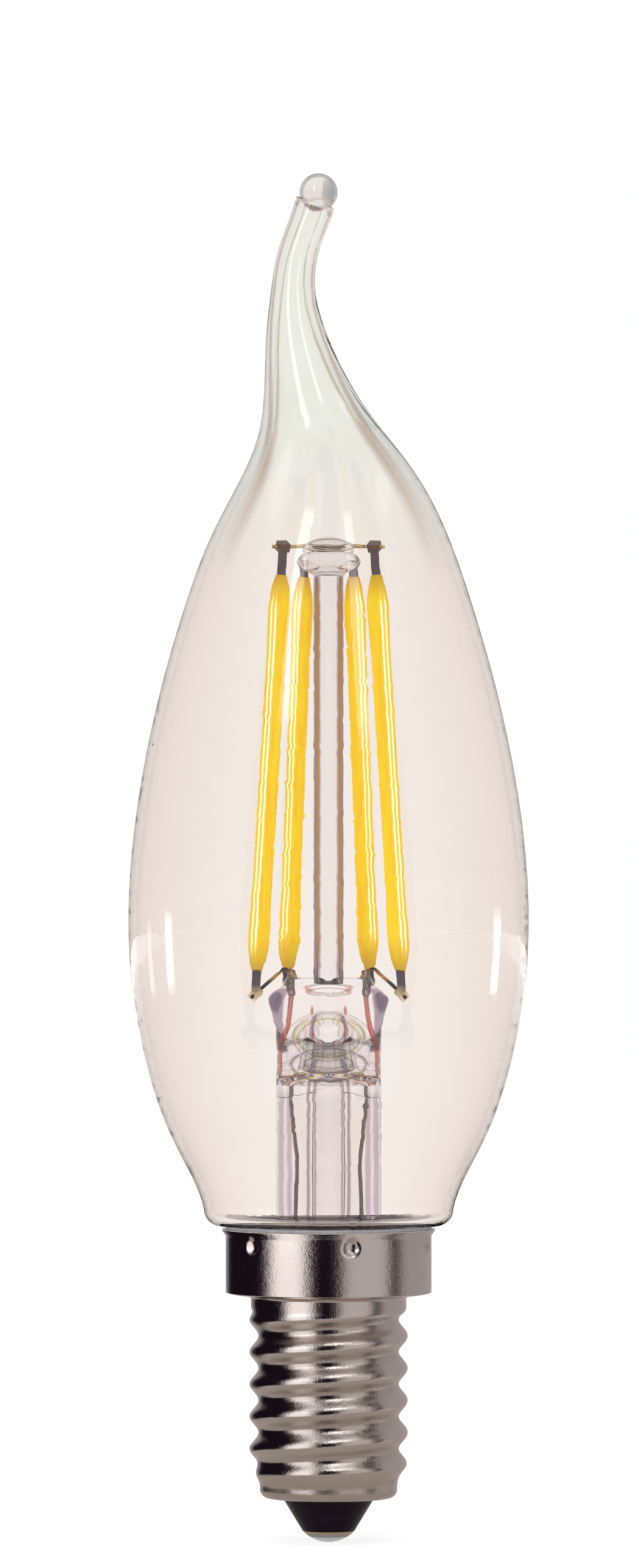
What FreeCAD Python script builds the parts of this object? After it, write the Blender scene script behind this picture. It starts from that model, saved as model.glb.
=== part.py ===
import FreeCAD, Part
import math
import os
import Sketcher
from FreeCAD import Placement, Rotation, Vector

# Candle bulb with a bent tip, a screw cap and four light filaments. Millimetres, +Z towards the tip.
# The origin is the lowest point of the centre contact. The tip bends in the XZ plane and -Y is the front.

# Driving dimensions

SIZES = {
    # centre contact and its insulator
    "contact_dome_height": 1.0,
    "contact_radius": 2.28,
    "contact_shank_radius": 0.85,
    "contact_shank_top": 5.5,
    "insulator_top": 6.5,
    "insulator_radius": 5.5,
    "insulator_gap": 0.05,
    "insulator_bevel": 0.25,
    # pressed metal cap
    "sheet": 0.3,
    "curl_bottom": 3.75,
    "curl_slope": 0.2,
    "curl_opening_radius": 4.0,
    "curl_corner_height": 4.6,
    "curl_radius": 6.0,
    "skirt_bottom": 4.85,
    "skirt_inset": 0.02,
    "thread_crest_radius": 6.925,
    "thread_root_radius": 6.14,
    "thread_pitch": 2.822,
    "thread_phase_height": 12.41,
    "cap_neck_radius": 6.8,
    "cap_neck_bottom": 20.6,
    "cap_neck_top": 21.25,
    "shoulder_height": 22.6,
    "shoulder_round": 0.85,
    "collar_radius": 9.0,
    "collar_top": 27.4,
    "lip_flare": 0.3,
    "lip_height": 0.55,
    "punch_height": 26.1,
    "punch_radius": 1.0,
    "punch_depth": 0.4,
    "punch_count": 6,
    "punch_angle": 12.6,
    # glass envelope and the cement under it
    "neck_rim_gap": 0.6,
    "cement_thickness": 0.7,
    "cement_bottom_step": 0.2,
    "cement_bead": 0.25,
    "seat_gap": 0.3,
    "glass_corner_radius": 10.9,
    "glass_corner_round": 1.4,
    "glass_neck_round": 0.5,
    "glass_belly_radius": 17.5,
    "glass_wall": 0.65,
    "tip_height": 119.75,
    "tip_tube_radius": 1.7,
    "tip_wall": 0.85,
    "tip_lean": 3.12,
    "bead_radius": 1.66,
    "bead_offset": 0.88,
    # glass stem
    "stem_radius": 4.585,
    "stem_wall": 0.8,
    "flare_rim_height": 0.8,
    "flare_top": 27.8,
    "flare_outer_round": 5.06,
    "flare_inner_round": 6.24,
    "press_bottom": 39.0,
    "press_top": 49.4,
    "press_half_width": 5.12,
    "press_half_depth": 1.6,
    "press_overlap": 0.2,
    "press_inset": 0.02,
    "press_bevel": 0.25,
    "press_shoulder": 0.4,
    "cavity_top": 41.2,
    "cavity_edge_drop": 1.2,
    "cavity_flat_radius": 2.3,
    "cavity_round": 2.08,
    "exhaust_radius": 1.98,
    "exhaust_wall": 0.65,
    "exhaust_bottom": 21.2,
    "exhaust_top": 43.6,
    "gas_way_radius": 1.13,
    "gas_way_overlap": 0.2,
    "vent_radius": 0.9,
    "nose_half_width": 2.23,
    "nose_half_height": 1.88,
    "nose_reach": 2.35,
    "nose_set_out": 0.88,
    "nose_share": 0.548,
    "meniscus_foot_radius": 0.85,
    "meniscus_top_radius": 0.3,
    "meniscus_height": 1.1,
    "meniscus_bite": 0.7,
    # support rod and its button
    "rod_radius": 1.3,
    "rod_bite": 0.6,
    "rod_top_rise": 0.15,
    "rod_fillet": 0.3,
    "button_foot_round": 1.98,
    "lower_lobe_radius": 2.75,
    "lower_lobe_rise": 1.09,
    "lower_lobe_round": 1.28,
    "button_waist_radius": 2.2,
    "button_waist_rise": 1.79,
    "upper_lobe_radius": 2.33,
    "upper_lobe_rise": 2.4,
    "upper_lobe_round": 0.96,
    "button_rise": 3.2,
    "button_top_round": 5.12,
    # filaments
    "coat_share": 0.495,
    "coat_radius": 0.85,
    "coat_even_distance": 7.04,
    "blob_radius": 0.95,
    "blob_distance": 3.2,
    "blob_round": 10.24,
    "coat_end_radius": 0.46,
    "strip_width": 0.75,
    "strip_thickness": 0.3,
    "tab_bite": 1.0,
    "crimp_width": 0.8,
    "crimp_length": 1.0,
    "crimp_inset": 0.32,
    "filament_bottom": 50.05,
    "front_foot_x": 6.23,
    "front_foot_y": -3.4,
    "front_head_x": 4.12,
    "front_head_y": -2.1,
    "rear_foot_x": 3.6,
    "rear_foot_y": 6.2,
    "rear_head_x": 2.2,
    "rear_head_y": 3.9,
    "front_foot_tab": 2.0,
    "rear_foot_tab": 1.2,
    "front_head_tab": 2.5,
    "rear_head_tab": 1.2,
    # wires of the mount
    "hanger_wire_radius": 0.15,
    "hanger_bend": 0.8,
    "hanger_tail": 1.0,
    "front_root_x": 1.0,
    "front_root_y": -0.35,
    "rear_root_x": 0.8,
    "rear_root_y": 0.5,
    "arm_wire_radius": 0.16,
    "arm_bend": 0.7,
    "arm_tail": 0.65,
    "arm_pitch": 0.34,
    "knot_depth": 1.4,
    "knot_radius": 0.36,
    "knot_x": 3.2,
    "seal_wire_radius": 0.2,
    "seal_wire_bend": 3.0,
    "seal_wire_bottom": 40.9,
    "outer_lead_radius": 0.18,
    "outer_lead_bend": 4.0,
    "outer_knot_radius": 0.3,
    "lead_x": 2.93,
    "lead_overlap": 1.6,
    # driver in the cap
    "board_width": 10.4,
    "board_thickness": 1.0,
    "board_chamfer": 0.6,
    "board_gap": 0.02,
    "board_bottom_gap": 0.1,
    "board_top": 20.2,
    "package_x": 0.6,
    "package_width": 3.9,
    "package_depth": 1.4,
    "package_gap": 0.1,
    "leg_reach": 0.8,
    "leg_width": 0.4,
    "leg_thickness": 0.35,
    "rectifier_middle": 10.0,
    "rectifier_height": 4.7,
    "rectifier_leg_pitch": 1.88,
    "chip_middle": 15.6,
    "chip_height": 4.9,
    "chip_leg_pitch": 0.98,
    "can_radius": 2.4,
    "can_length": 8.0,
    "can_bevel": 0.3,
    "can_groove_height": 1.3,
    "can_groove_depth": 0.25,
    "can_x": 1.9,
    "can_bottom": 8.6,
    "can_lead_offset": 1.0,
    "can_lead_drop": 0.9,
    "resistor_radius": 1.1,
    "resistor_waist_radius": 0.97,
    "resistor_bell_length": 1.43,
    "resistor_bevel": 0.3,
    "resistor_length": 6.0,
    "resistor_x": -3.1,
    "resistor_y": -1.3,
    "resistor_bottom": 9.0,
    "resistor_lead_rise": 1.0,
    "small_wire_radius": 0.25,
    "small_wire_bend": 0.6,
    "contact_wire_drop": 1.1,
    "contact_wire_entry": 0.6,
    "shell_wire_x": -2.2,
    "shell_wire_angle": 35.0,
}

# Outline of the blown glass: share of its height, share of its radius above the tip tube, share of its lean.
GLASS_OUTLINE = [
    (0.0165, 0.611, 0.0),
    (0.0507, 0.706, 0.0),
    (0.0971, 0.826, 0.0),
    (0.1566, 0.924, 0.0),
    (0.2272, 0.987, 0.0),
    (0.2857, 1.0, 0.0),
    (0.3563, 0.975, 0.0),
    (0.4391, 0.902, 0.0),
    (0.5096, 0.810, 0.0),
    (0.5802, 0.693, 0.0),
    (0.6387, 0.576, 0.017),
    (0.6861, 0.449, 0.09),
    (0.7325, 0.288, 0.27),
    (0.7799, 0.154, 0.55),
    (0.8263, 0.081, 0.835),
    (0.8682, 0.031, 0.985),
    (0.9024, 0.008, 0.965),
    (0.9311, 0.0, 0.79),
    (0.9564, 0.0, 0.52),
]
TIP_END = (0.972, 0.375)
CAVITY_END = (0.968, 0.42)

# Pinched end of the stem tube: share of its height, half width and half depth in millimetres, squareness.
PRESS_OUTLINE = [
    (0.0, 1.0, 1.0, 2.0),
    (0.17, 1.0, 0.86, 2.0),
    (0.35, 0.985, 0.52, 2.2),
    (0.52, 0.85, 0.16, 2.8),
    (0.69, 0.15, 0.02, 3.5),
    (0.81, 0.0, 0.0, 3.5),
]
PRESS_CROWN = [
    (0.89, 0.90, 0.97, 3.0),
    (0.96, 0.76, 0.86, 2.6),
    (1.0, 0.63, 0.66, 2.4),
]

# Wire routes. Arms: outward of the knot, along Y, above the press. Leads: outward of the knot, drop.
ARM_ROUTES = {
    "front": [(0.22, 0.0, 0.55), (0.7, -0.4, 0.9), (1.2, -1.0, 0.4)],
    "rear": [(-0.17, 0.0, 0.5), (-0.05, 1.2, 0.5)],
}
SEAL_ROUTE = [(0.0, 0.0), (0.2, 3.0), (0.52, 4.8), (0.24, 6.4)]
SEAL_FOOT = 0.2
LEAD_ROUTE = [(0.07, 2.7), (-0.44, 7.2)]
LEAD_STRAIGHT_DROP = 13.0
SHELL_WIRE_DROPS = (2.4, 0.6, 1.0, -0.1)
SHELL_WIRE_BEND_SHARE = 0.9
KNOT_TOE_SHARE = 1 / 3

SIDES = {"left": -1, "right": 1}
FILAMENTS = [(rank, side) for rank in ("front", "rear") for side in SIDES]
RING_POINTS = 36
THREAD_RING_POINTS = 48
THREAD_ROWS_PER_TURN = 14
THREAD_START_SHARE = 0.7
THREAD_END_SHARE = 0.3
BEND_REACH_SHARE = 0.45

doc = FreeCAD.newDocument("candle_bulb")
sheet = doc.addObject("Spreadsheet::Sheet", "Sizes")


def fill_sheet():
    """Write each driving dimension as a plain number in a cell with its own alias."""
    for row, (alias, value) in enumerate(SIZES.items(), start=1):
        sheet.set(f"A{row}", alias)
        sheet.set(f"B{row}", str(value))
        sheet.setAlias(f"B{row}", alias)
    doc.recompute()


class Size:
    """A length that knows its value and the formula on the sheet that gives it."""

    def __init__(self, value, text=None):
        self.value = float(value)
        self.text = text if text is not None else repr(float(value))

    @staticmethod
    def of(other):
        return other if isinstance(other, Size) else Size(other)

    def __add__(self, other):
        other = Size.of(other)
        return Size(self.value + other.value, f"({self.text} + {other.text})")

    def __radd__(self, other):
        return Size.of(other) + self

    def __sub__(self, other):
        other = Size.of(other)
        return Size(self.value - other.value, f"({self.text} - {other.text})")

    def __rsub__(self, other):
        return Size.of(other) - self

    def __mul__(self, other):
        other = Size.of(other)
        return Size(self.value * other.value, f"({self.text} * {other.text})")

    def __rmul__(self, other):
        return Size.of(other) * self

    def __truediv__(self, other):
        other = Size.of(other)
        return Size(self.value / other.value, f"({self.text} / {other.text})")

    def __neg__(self):
        return Size(0) - self


def size(alias):
    """Read a driving dimension from the sheet."""
    return Size(sheet.get(alias), f"Sizes.{alias}")


def coat_length():
    """Length of a filament's coat: its share of the height from the filaments' foot to the glass tip."""
    return (size("tip_height") - size("filament_bottom")) * size("coat_share")


def rod_top():
    """Height of the button's underside, a little above the coats."""
    return size("filament_bottom") + coat_length() + size("rod_top_rise")


def nose_height():
    """Height of the vent nose on the press."""
    return size("press_bottom") + (size("press_top") - size("press_bottom")) * size("nose_share")


# Drawing and feature helpers

ORIGIN_POINT = (-1, 1)
UP = Vector(0, 0, 1)


def new_body(name):
    body = doc.addObject("PartDesign::Body", name)
    body.Label = name
    return body


def origin_plane(body, role):
    return next(item for item in body.Origin.OriginFeatures if item.Role == role)


def new_sketch(body, name, role="XZ_Plane", at=(0, 0, 0), turn=None):
    """Attach a sketch to an origin plane, moved by the three sizes in at and turned about its Y axis."""
    sketch = body.newObject("Sketcher::SketchObject", name)
    sketch.AttachmentSupport = [(origin_plane(body, role), "")]
    sketch.MapMode = "FlatFace"
    places = [Size.of(item) for item in at]
    rotation = Rotation(Vector(0, 1, 0), turn) if turn else Rotation()
    sketch.AttachmentOffset = Placement(Vector(*(item.value for item in places)), rotation)
    for axis, item in zip("xyz", places):
        if item.value:
            sketch.setExpression(f"AttachmentOffset.Base.{axis}", item.text)
    return sketch


def side_curve(start, end, radius):
    """A straight side, or an arc of the given radius: a positive one bulges to the right of the way along."""
    if radius is None:
        return Part.LineSegment(start, end)
    chord = end - start
    reach = abs(radius)
    rise = reach - math.sqrt(max(reach ** 2 - (chord.Length / 2) ** 2, 0))
    right = Vector(chord.y, -chord.x, 0).normalize()
    middle = (start + end) / 2 + right * rise * math.copysign(1, radius)
    return Part.Arc(start, middle, end) if radius > 0 else Part.Arc(end, middle, start)


def pin_corner(sketch, spot, corner):
    """Fix one corner of an outline at its two sizes, or on the sketch's own axis where a size is zero."""
    upright_axis, level_axis = -2, -1
    for kind, axis, length in zip(("DistanceX", "DistanceY"), (upright_axis, level_axis), corner):
        if length.value == 0:
            sketch.addConstraint(Sketcher.Constraint("PointOnObject", *spot, axis))
            continue
        index = sketch.addConstraint(Sketcher.Constraint(kind, *ORIGIN_POINT, *spot, length.value))
        sketch.setExpression(f"Constraints[{index}]", length.text)


def draw_outline(sketch, corners, bends=None):
    """Close an outline through its corners. bends gives the radius of each rounded side by its number."""
    bends = bends or {}
    corners = [(Size.of(x), Size.of(y)) for x, y in corners]
    points = [Vector(x.value, y.value, 0) for x, y in corners]
    ends = []
    for number, start in enumerate(points):
        end = points[(number + 1) % len(points)]
        bend = bends.get(number)
        radius = Size.of(bend) if bend is not None else None
        index = sketch.addGeometry(side_curve(start, end, radius.value if radius else None))
        first = 1 if (sketch.Geometry[index].StartPoint - start).Length < 1e-6 else 2
        ends.append(((index, first), (index, 3 - first), radius))
    for number, (start, end, radius) in enumerate(ends):
        following = ends[(number + 1) % len(ends)][0]
        sketch.addConstraint(Sketcher.Constraint("Coincident", *end, *following))
        pin_corner(sketch, start, corners[number])
    for start, end, radius in ends:
        if radius is not None:
            index = sketch.addConstraint(Sketcher.Constraint("Radius", start[0], abs(radius.value)))
            sketch.setExpression(f"Constraints[{index}]", radius.text if radius.value > 0 else (-radius).text)


def draw_circle(sketch, radius):
    radius = Size.of(radius)
    index = sketch.addGeometry(Part.Circle(Vector(), UP, radius.value))
    sketch.addConstraint(Sketcher.Constraint("Coincident", index, 3, *ORIGIN_POINT))
    index = sketch.addConstraint(Sketcher.Constraint("Radius", index, radius.value))
    sketch.setExpression(f"Constraints[{index}]", radius.text)


def turned(body, name, corners, bends=None, kind="Revolution"):
    """Turn an outline in the XZ plane about the vertical axis, as added or as cut material."""
    sketch = new_sketch(body, f"{name}_outline")
    draw_outline(sketch, corners, bends)
    feature = body.newObject(f"PartDesign::{kind}", name)
    feature.Profile = sketch
    feature.ReferenceAxis = (sketch, ["V_Axis"])
    feature.Angle = 360
    return feature


def turned_body(name, corners, bends=None):
    body = new_body(name)
    turned(body, f"{name}_turned", corners, bends)
    return body


def combine(kind, name, base, tool):
    """Join or cut two objects of the document under the given name."""
    result = doc.addObject(f"Part::{kind}", name)
    result.Label = name
    result.Base = base
    result.Tool = tool
    return result


def gather(name, items):
    """Fuse several objects into one."""
    result = doc.addObject("Part::MultiFuse", name)
    result.Label = name
    result.Shapes = items
    return result


def formed(name, shape):
    """Hold a shape worked out from the sizes on the sheet."""
    result = doc.addObject("Part::Feature", name)
    result.Label = name
    result.Shape = shape
    result.Placement = Placement()
    return result


def primitive(kind, name, place=None, **lengths):
    """A Part primitive whose measures are bound to the sheet."""
    result = doc.addObject(f"Part::{kind}", name)
    result.Label = name
    for prop, length in lengths.items():
        length = Size.of(length)
        setattr(result, prop, length.value)
        result.setExpression(prop, length.text)
    if place is not None:
        result.Placement = place
    return result


def box(name, low, high):
    """A block between two corners given as sizes."""
    low = [Size.of(item) for item in low]
    high = [Size.of(item) for item in high]
    spans = [top - bottom for bottom, top in zip(low, high)]
    result = primitive("Box", name, Length=spans[0], Width=spans[1], Height=spans[2])
    result.Placement = Placement(Vector(*(item.value for item in low)), Rotation())
    for axis, item in zip("xyz", low):
        result.setExpression(f"Placement.Base.{axis}", item.text)
    return result


# Bent wires

def wire_route(points, bend_radius):
    """Straight runs joined by tangent arcs through a list of points."""
    edges = []
    start = points[0]
    for before, corner, after in zip(points, points[1:], points[2:]):
        back = (before - corner).normalize()
        ahead = (after - corner).normalize()
        half_turn = (math.pi - back.getAngle(ahead)) / 2
        shorter = min((before - corner).Length, (after - corner).Length)
        reach = min(bend_radius * math.tan(half_turn), BEND_REACH_SHARE * shorter)
        radius = reach / math.tan(half_turn)
        inward = (back + ahead).normalize()
        middle = corner + inward * (radius / math.cos(half_turn) - radius)
        edges.append(Part.LineSegment(start, corner + back * reach).toShape())
        edges.append(Part.Arc(corner + back * reach, middle, corner + ahead * reach).toShape())
        start = corner + ahead * reach
    edges.append(Part.LineSegment(start, points[-1]).toShape())
    return Part.Wire(edges)


def bent_wire(points, wire_radius, bend_radius):
    """A round wire that follows the points with rounded bends."""
    route = wire_route(points, bend_radius)
    section = Part.Wire([Part.makeCircle(wire_radius, points[0], points[1] - points[0])])
    solid = route.makePipeShell([section], True, False)
    expected = math.pi * wire_radius ** 2 * route.Length
    if abs(solid.Volume - expected) > 0.02 * expected:
        raise ValueError("a bent wire lost volume")
    return solid


# Ring surfaces: skins through closed rings, for thread and pinched glass

def plug(rings):
    """A solid whose skin is steered by closed rings of points, one above the other, with flat ends."""
    around = len(rings[0])
    along = len(rings)
    surface = Part.BSplineSurface()
    surface.buildFromPolesMultsKnots(
        [list(column) for column in zip(*rings)],
        [1] * (around + 1),
        [4] + [1] * (along - 4) + [4],
        [float(knot) for knot in range(around + 1)],
        [float(knot) for knot in range(along - 2)],
        True,
        False,
        3,
        3,
    )
    skin = surface.toShape()
    ends = [Part.Face(Part.Wire([edge])) for edge in skin.Edges if edge.isClosed()]
    shell = Part.Shell([skin] + ends)
    shell.sewShape()
    solid = Part.Solid(shell)
    if solid.Volume < 0:
        solid.reverse()
    return solid


def thread_rings(height_low, height_high, radius_at):
    """Rings of control points for a wall whose radius depends on the angle and the height."""
    rows = int((height_high - height_low) / size("thread_pitch").value * THREAD_ROWS_PER_TURN)
    step = 2 * math.pi / THREAD_RING_POINTS
    spread = 3 / (2 + math.cos(step))
    rings = []
    for row in range(rows + 1):
        height = height_low + (height_high - height_low) * row / rows
        ring = []
        for index in range(THREAD_RING_POINTS):
            angle = index * step
            radius = radius_at(angle, height) * spread
            ring.append(Vector(radius * math.cos(angle), radius * math.sin(angle), height))
        rings.append(ring)
    return rings


def smooth(share):
    """Ease from 0 to 1."""
    share = min(max(share, 0), 1)
    return share * share * (3 - 2 * share)


def squared_ring(half_width, half_depth, squareness, height):
    """A closed curve between an ellipse, squareness 2, and a rectangle with rounded corners."""
    points = []
    for index in range(RING_POINTS):
        angle = 2 * math.pi * index / RING_POINTS
        across = math.cos(angle)
        along = math.sin(angle)
        x = half_width * math.copysign(abs(across) ** (2 / squareness), across)
        y = half_depth * math.copysign(abs(along) ** (2 / squareness), along)
        points.append(Vector(x, y, height))
    curve = Part.BSplineCurve()
    curve.interpolate(Points=points, PeriodicFlag=True)
    return Part.Wire([curve.toShape()])


# Centre contact, insulator and pressed cap

def make_contact():
    """A domed rivet whose shank sits in the insulator's bore."""
    head = size("contact_radius")
    dome = size("contact_dome_height")
    shank = size("contact_shank_radius")
    top = size("contact_shank_top")
    corners = [(0, 0), (head, dome), (shank, dome), (shank, top), (0, top)]
    return turned_body("centre_contact", corners, {0: (head * head + dome * dome) / (2 * dome)})


def make_insulator():
    """A cone of dark glass that fills the cap's lower end round the contact."""
    gap = size("insulator_gap")
    bore = size("contact_shank_radius") + gap
    low = size("contact_dome_height")
    opening = size("curl_opening_radius") - gap
    curl = size("curl_bottom")
    seat = curl + size("sheet") + gap
    wide = size("insulator_radius")
    bevel = size("insulator_bevel")
    top = size("insulator_top")
    corners = [
        (bore, low),
        (size("contact_radius"), low),
        (opening, curl),
        (opening, seat),
        (wide - bevel, seat + size("curl_slope")),
        (wide, size("curl_corner_height") + bevel),
        (wide, top),
        (bore, top),
    ]
    return turned_body("cap_insulator", corners)


def skirt_ends():
    """Lowest and highest level of the threaded skirt, which runs a little way into the neck."""
    return size("skirt_bottom").value, (size("cap_neck_bottom") + size("sheet") * 1.5).value


def skirt_radius(angle, height):
    """Outer radius of the threaded skirt: a right-hand wave that dies out at both ends."""
    low = skirt_ends()[0]
    neck = size("cap_neck_bottom").value
    crest = size("thread_crest_radius").value
    root = size("thread_root_radius").value
    pitch = size("thread_pitch").value
    step = size("skirt_inset").value
    middle = (crest + root) / 2
    foot = size("curl_radius").value - step
    head = size("cap_neck_radius").value - step
    end = smooth((neck - height) / (THREAD_END_SHARE * pitch))
    rise = smooth((height - low) / pitch) * end
    mean = foot + (middle - foot) * smooth((height - low) / (THREAD_START_SHARE * pitch))
    mean += (head - middle) * (1 - end)
    turn = 2 * math.pi * (height - size("thread_phase_height").value) / pitch
    return mean + (crest - root) / 2 * rise * math.cos(turn - angle)


def make_skirt():
    """The rolled thread: outer and inner skin follow the same wave, one sheet apart."""
    low, high = skirt_ends()
    wall = (size("sheet") - size("skirt_inset") * 2).value

    def inner_radius(angle, height):
        return skirt_radius(angle, height) - wall

    outer = plug(thread_rings(low, high, skirt_radius))
    inner = plug(thread_rings(low, high, inner_radius))
    return formed("threaded_skirt", outer.cut(inner).Solids[0])


def make_curl():
    """The cap's lower edge, curled in under the insulator."""
    sheet_gauge = size("sheet")
    low = size("curl_bottom")
    opening = size("curl_opening_radius")
    wide = size("curl_radius")
    corner = size("curl_corner_height")
    floor = low + size("curl_slope")
    top = size("skirt_bottom") + sheet_gauge
    turn = corner - floor
    corners = [
        (opening, low),
        (wide - turn, floor),
        (wide, corner),
        (wide, top),
        (wide - sheet_gauge, top),
        (wide - sheet_gauge, corner),
        (wide - turn, floor + sheet_gauge),
        (opening, low + sheet_gauge),
    ]
    return turned_body("cap_curl", corners, {1: turn, 5: -(turn - sheet_gauge)})


def make_collar():
    """The plain upper half of the cap: neck, shoulder, collar, flared lip and a ring of punch marks."""
    gauge = size("sheet")
    neck = size("cap_neck_radius")
    low = size("cap_neck_bottom")
    neck_top = size("cap_neck_top")
    wide = size("collar_radius")
    shoulder = size("shoulder_height")
    turn = size("shoulder_round")
    top = size("collar_top")
    flare = size("lip_flare")
    lip = top - size("lip_height")
    corners = [
        (neck, low),
        (neck, neck_top),
        (neck + gauge, neck_top + gauge),
        (wide - turn, shoulder - turn),
        (wide, shoulder),
        (wide, lip),
        (wide + flare, top - gauge / 2),
        (wide + flare, top),
        (wide + flare - gauge, top),
        (wide - gauge, lip + gauge / 2),
        (wide - gauge, shoulder),
        (wide - turn, shoulder - turn + gauge),
        (neck, neck_top + gauge + gauge),
        (neck - gauge, neck_top + gauge),
        (neck - gauge, low),
    ]
    bends = {1: -gauge, 3: turn, 10: -(turn - gauge), 12: gauge}
    return turned_body("cap_collar", corners, bends)


def punch_balls(name, radius):
    """A ring of balls sunk into the collar from outside."""
    reach = size("collar_radius") + size("punch_radius") - size("punch_depth")
    count = SIZES["punch_count"]
    balls = []
    for number in range(count):
        turn = Rotation(UP, SIZES["punch_angle"] - 90 + 360 * number / count)
        place = turn.multVec(Vector(reach.value, 0, size("punch_height").value))
        balls.append(primitive("Sphere", f"{name}_{number + 1}", Placement(place, Rotation()), Radius=radius))
    return gather(name, balls)


def make_cap_shell():
    """One pressed sheet: curl, rolled thread, neck, shoulder and collar with its punch marks."""
    gauge = size("sheet")
    core = primitive(
        "Cylinder",
        "collar_core",
        Radius=size("collar_radius") - gauge / 2,
        Height=size("collar_top"),
    )
    bump_balls = punch_balls("punch_bumps", size("punch_radius") + gauge)
    bumps = combine("Common", "punch_bumps_inside", bump_balls, core)
    blank = gather("cap_blank", [make_curl(), make_skirt(), make_collar(), bumps])
    return blank, combine("Cut", "cap_shell", blank, punch_balls("punch_dents", size("punch_radius")))


def make_cement(cap_blank, envelope):
    """The ring of capping cement between the glass neck and the collar, squeezed out over the lip."""
    wide = size("collar_radius") - size("sheet")
    narrow = wide - size("cement_thickness")
    low = neck_rim() + size("cement_bottom_step")
    top = size("collar_top")
    bead = wide + size("cement_bead")
    corners = [
        (narrow, low),
        (wide, low),
        (wide, top),
        (bead, top),
        (bead, glass_seat()),
        (narrow, glass_seat()),
    ]
    ring = turned_body("cement_ring", corners)
    inside = combine("Cut", "cement_in_cap", ring, cap_blank)
    return combine("Cut", "cap_cement", inside, envelope)


# Glass envelope

def glass_station(share, lean):
    """Height and sideways place of the glass at a share of its height."""
    low = glass_seat() + size("glass_corner_round")
    height = low + (size("tip_height") - low) * share
    return height, -size("tip_lean") * lean


def glass_outline():
    """Stations of the outer skin as height, radius, sideways place and wall, up to the tip tube."""
    tube = size("tip_tube_radius")
    belly = size("glass_belly_radius")
    wall = size("glass_wall")
    tip_wall = size("tip_wall")
    stations = [(glass_station(0, 0)[0], size("glass_corner_radius"), Size(0), wall)]
    for share, fullness, lean in GLASS_OUTLINE:
        height, aside = glass_station(share, lean)
        radius = tube + (belly - tube) * fullness
        stations.append((height, radius, aside, tip_wall + (wall - tip_wall) * math.sqrt(fullness)))
    return stations


def glass_seat():
    """Height of the glass shoulder over the cap's lip."""
    return size("collar_top") + size("seat_gap")


def neck_rim():
    """Height of the neck's sealed rim over the cap's shoulder."""
    return size("shoulder_height") + size("neck_rim_gap")


def loft(body, name, stations, kind):
    """Loft circles that follow a leaning centre line, each square to it."""
    sketches = []
    for number, (height, radius, aside) in enumerate(stations):
        below = stations[max(number - 1, 0)]
        above = stations[min(number + 1, len(stations) - 1)]
        turn = math.degrees(math.atan2(above[2].value - below[2].value, above[0].value - below[0].value))
        sketch = new_sketch(body, f"{name}_{number}", "XY_Plane", (aside, 0, height), turn)
        draw_circle(sketch, radius)
        sketches.append(sketch)
    feature = body.newObject(f"PartDesign::{kind}Loft", name)
    feature.Profile = sketches[0]
    feature.Sections = sketches[1:]
    return feature


def make_envelope():
    """Blown glass: a foot in the cap, the belly, and a bent tip closed by a solid bead."""
    body = new_body("glass_envelope")
    outline = glass_outline()
    tube = size("tip_tube_radius")
    outer = [(height, radius, aside) for height, radius, aside, wall in outline]
    height, aside = glass_station(*TIP_END)
    outer.append((height, tube, aside))
    loft(body, "outer_skin", outer, "Additive")
    bead = size("bead_radius")
    drop = body.newObject("PartDesign::AdditiveSphere", "tip_bead")
    drop.AttachmentSupport = [(origin_plane(body, "XY_Plane"), "")]
    drop.MapMode = "FlatFace"
    drop.Radius = bead.value
    drop.setExpression("Radius", bead.text)
    centre = (-size("bead_offset"), Size(0), size("tip_height") - bead)
    drop.AttachmentOffset = Placement(Vector(*(item.value for item in centre)), Rotation())
    for axis, item in zip("xz", (centre[0], centre[2])):
        drop.setExpression(f"AttachmentOffset.Base.{axis}", item.text)
    inner = [(height, radius - wall, aside) for height, radius, aside, wall in outline]
    height, aside = glass_station(*CAVITY_END)
    inner.append((height, tube - size("tip_wall"), aside))
    loft(body, "inner_skin", inner, "Subtractive")
    wall = size("glass_wall")
    neck = size("collar_radius") - size("sheet") - size("cement_thickness")
    seat = glass_seat()
    turn = size("glass_corner_round")
    bend = size("glass_neck_round")
    wide = size("glass_corner_radius")
    rim = neck_rim()
    corners = [
        (neck, rim),
        (neck, seat - bend),
        (neck + bend, seat),
        (wide - turn, seat),
        (wide, seat + turn),
        (wide - wall, seat + turn),
        (wide - turn, seat + wall),
        (neck + bend, seat + wall),
        (neck - wall, seat - bend),
        (neck - wall, rim),
    ]
    bends = {1: -bend, 3: turn, 5: -(turn - wall), 7: bend + wall}
    turned(body, "foot", corners, bends)
    return body


# Glass stem: flare, tube, pinched press, exhaust tube and support rod with its button

def make_exhaust_tube():
    """A thin tube closed at its lower end, with its open upper end in the press."""
    wide = size("exhaust_radius")
    wall = size("exhaust_wall")
    low = size("exhaust_bottom")
    top = size("exhaust_top")
    bore = wide - wall
    corners = [
        (0, low),
        (wide, low + wide),
        (wide, top),
        (bore, top),
        (bore, low + wide),
        (0, low + wall),
    ]
    return turned_body("exhaust_tube", corners, {0: wide, 4: -bore})


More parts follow.
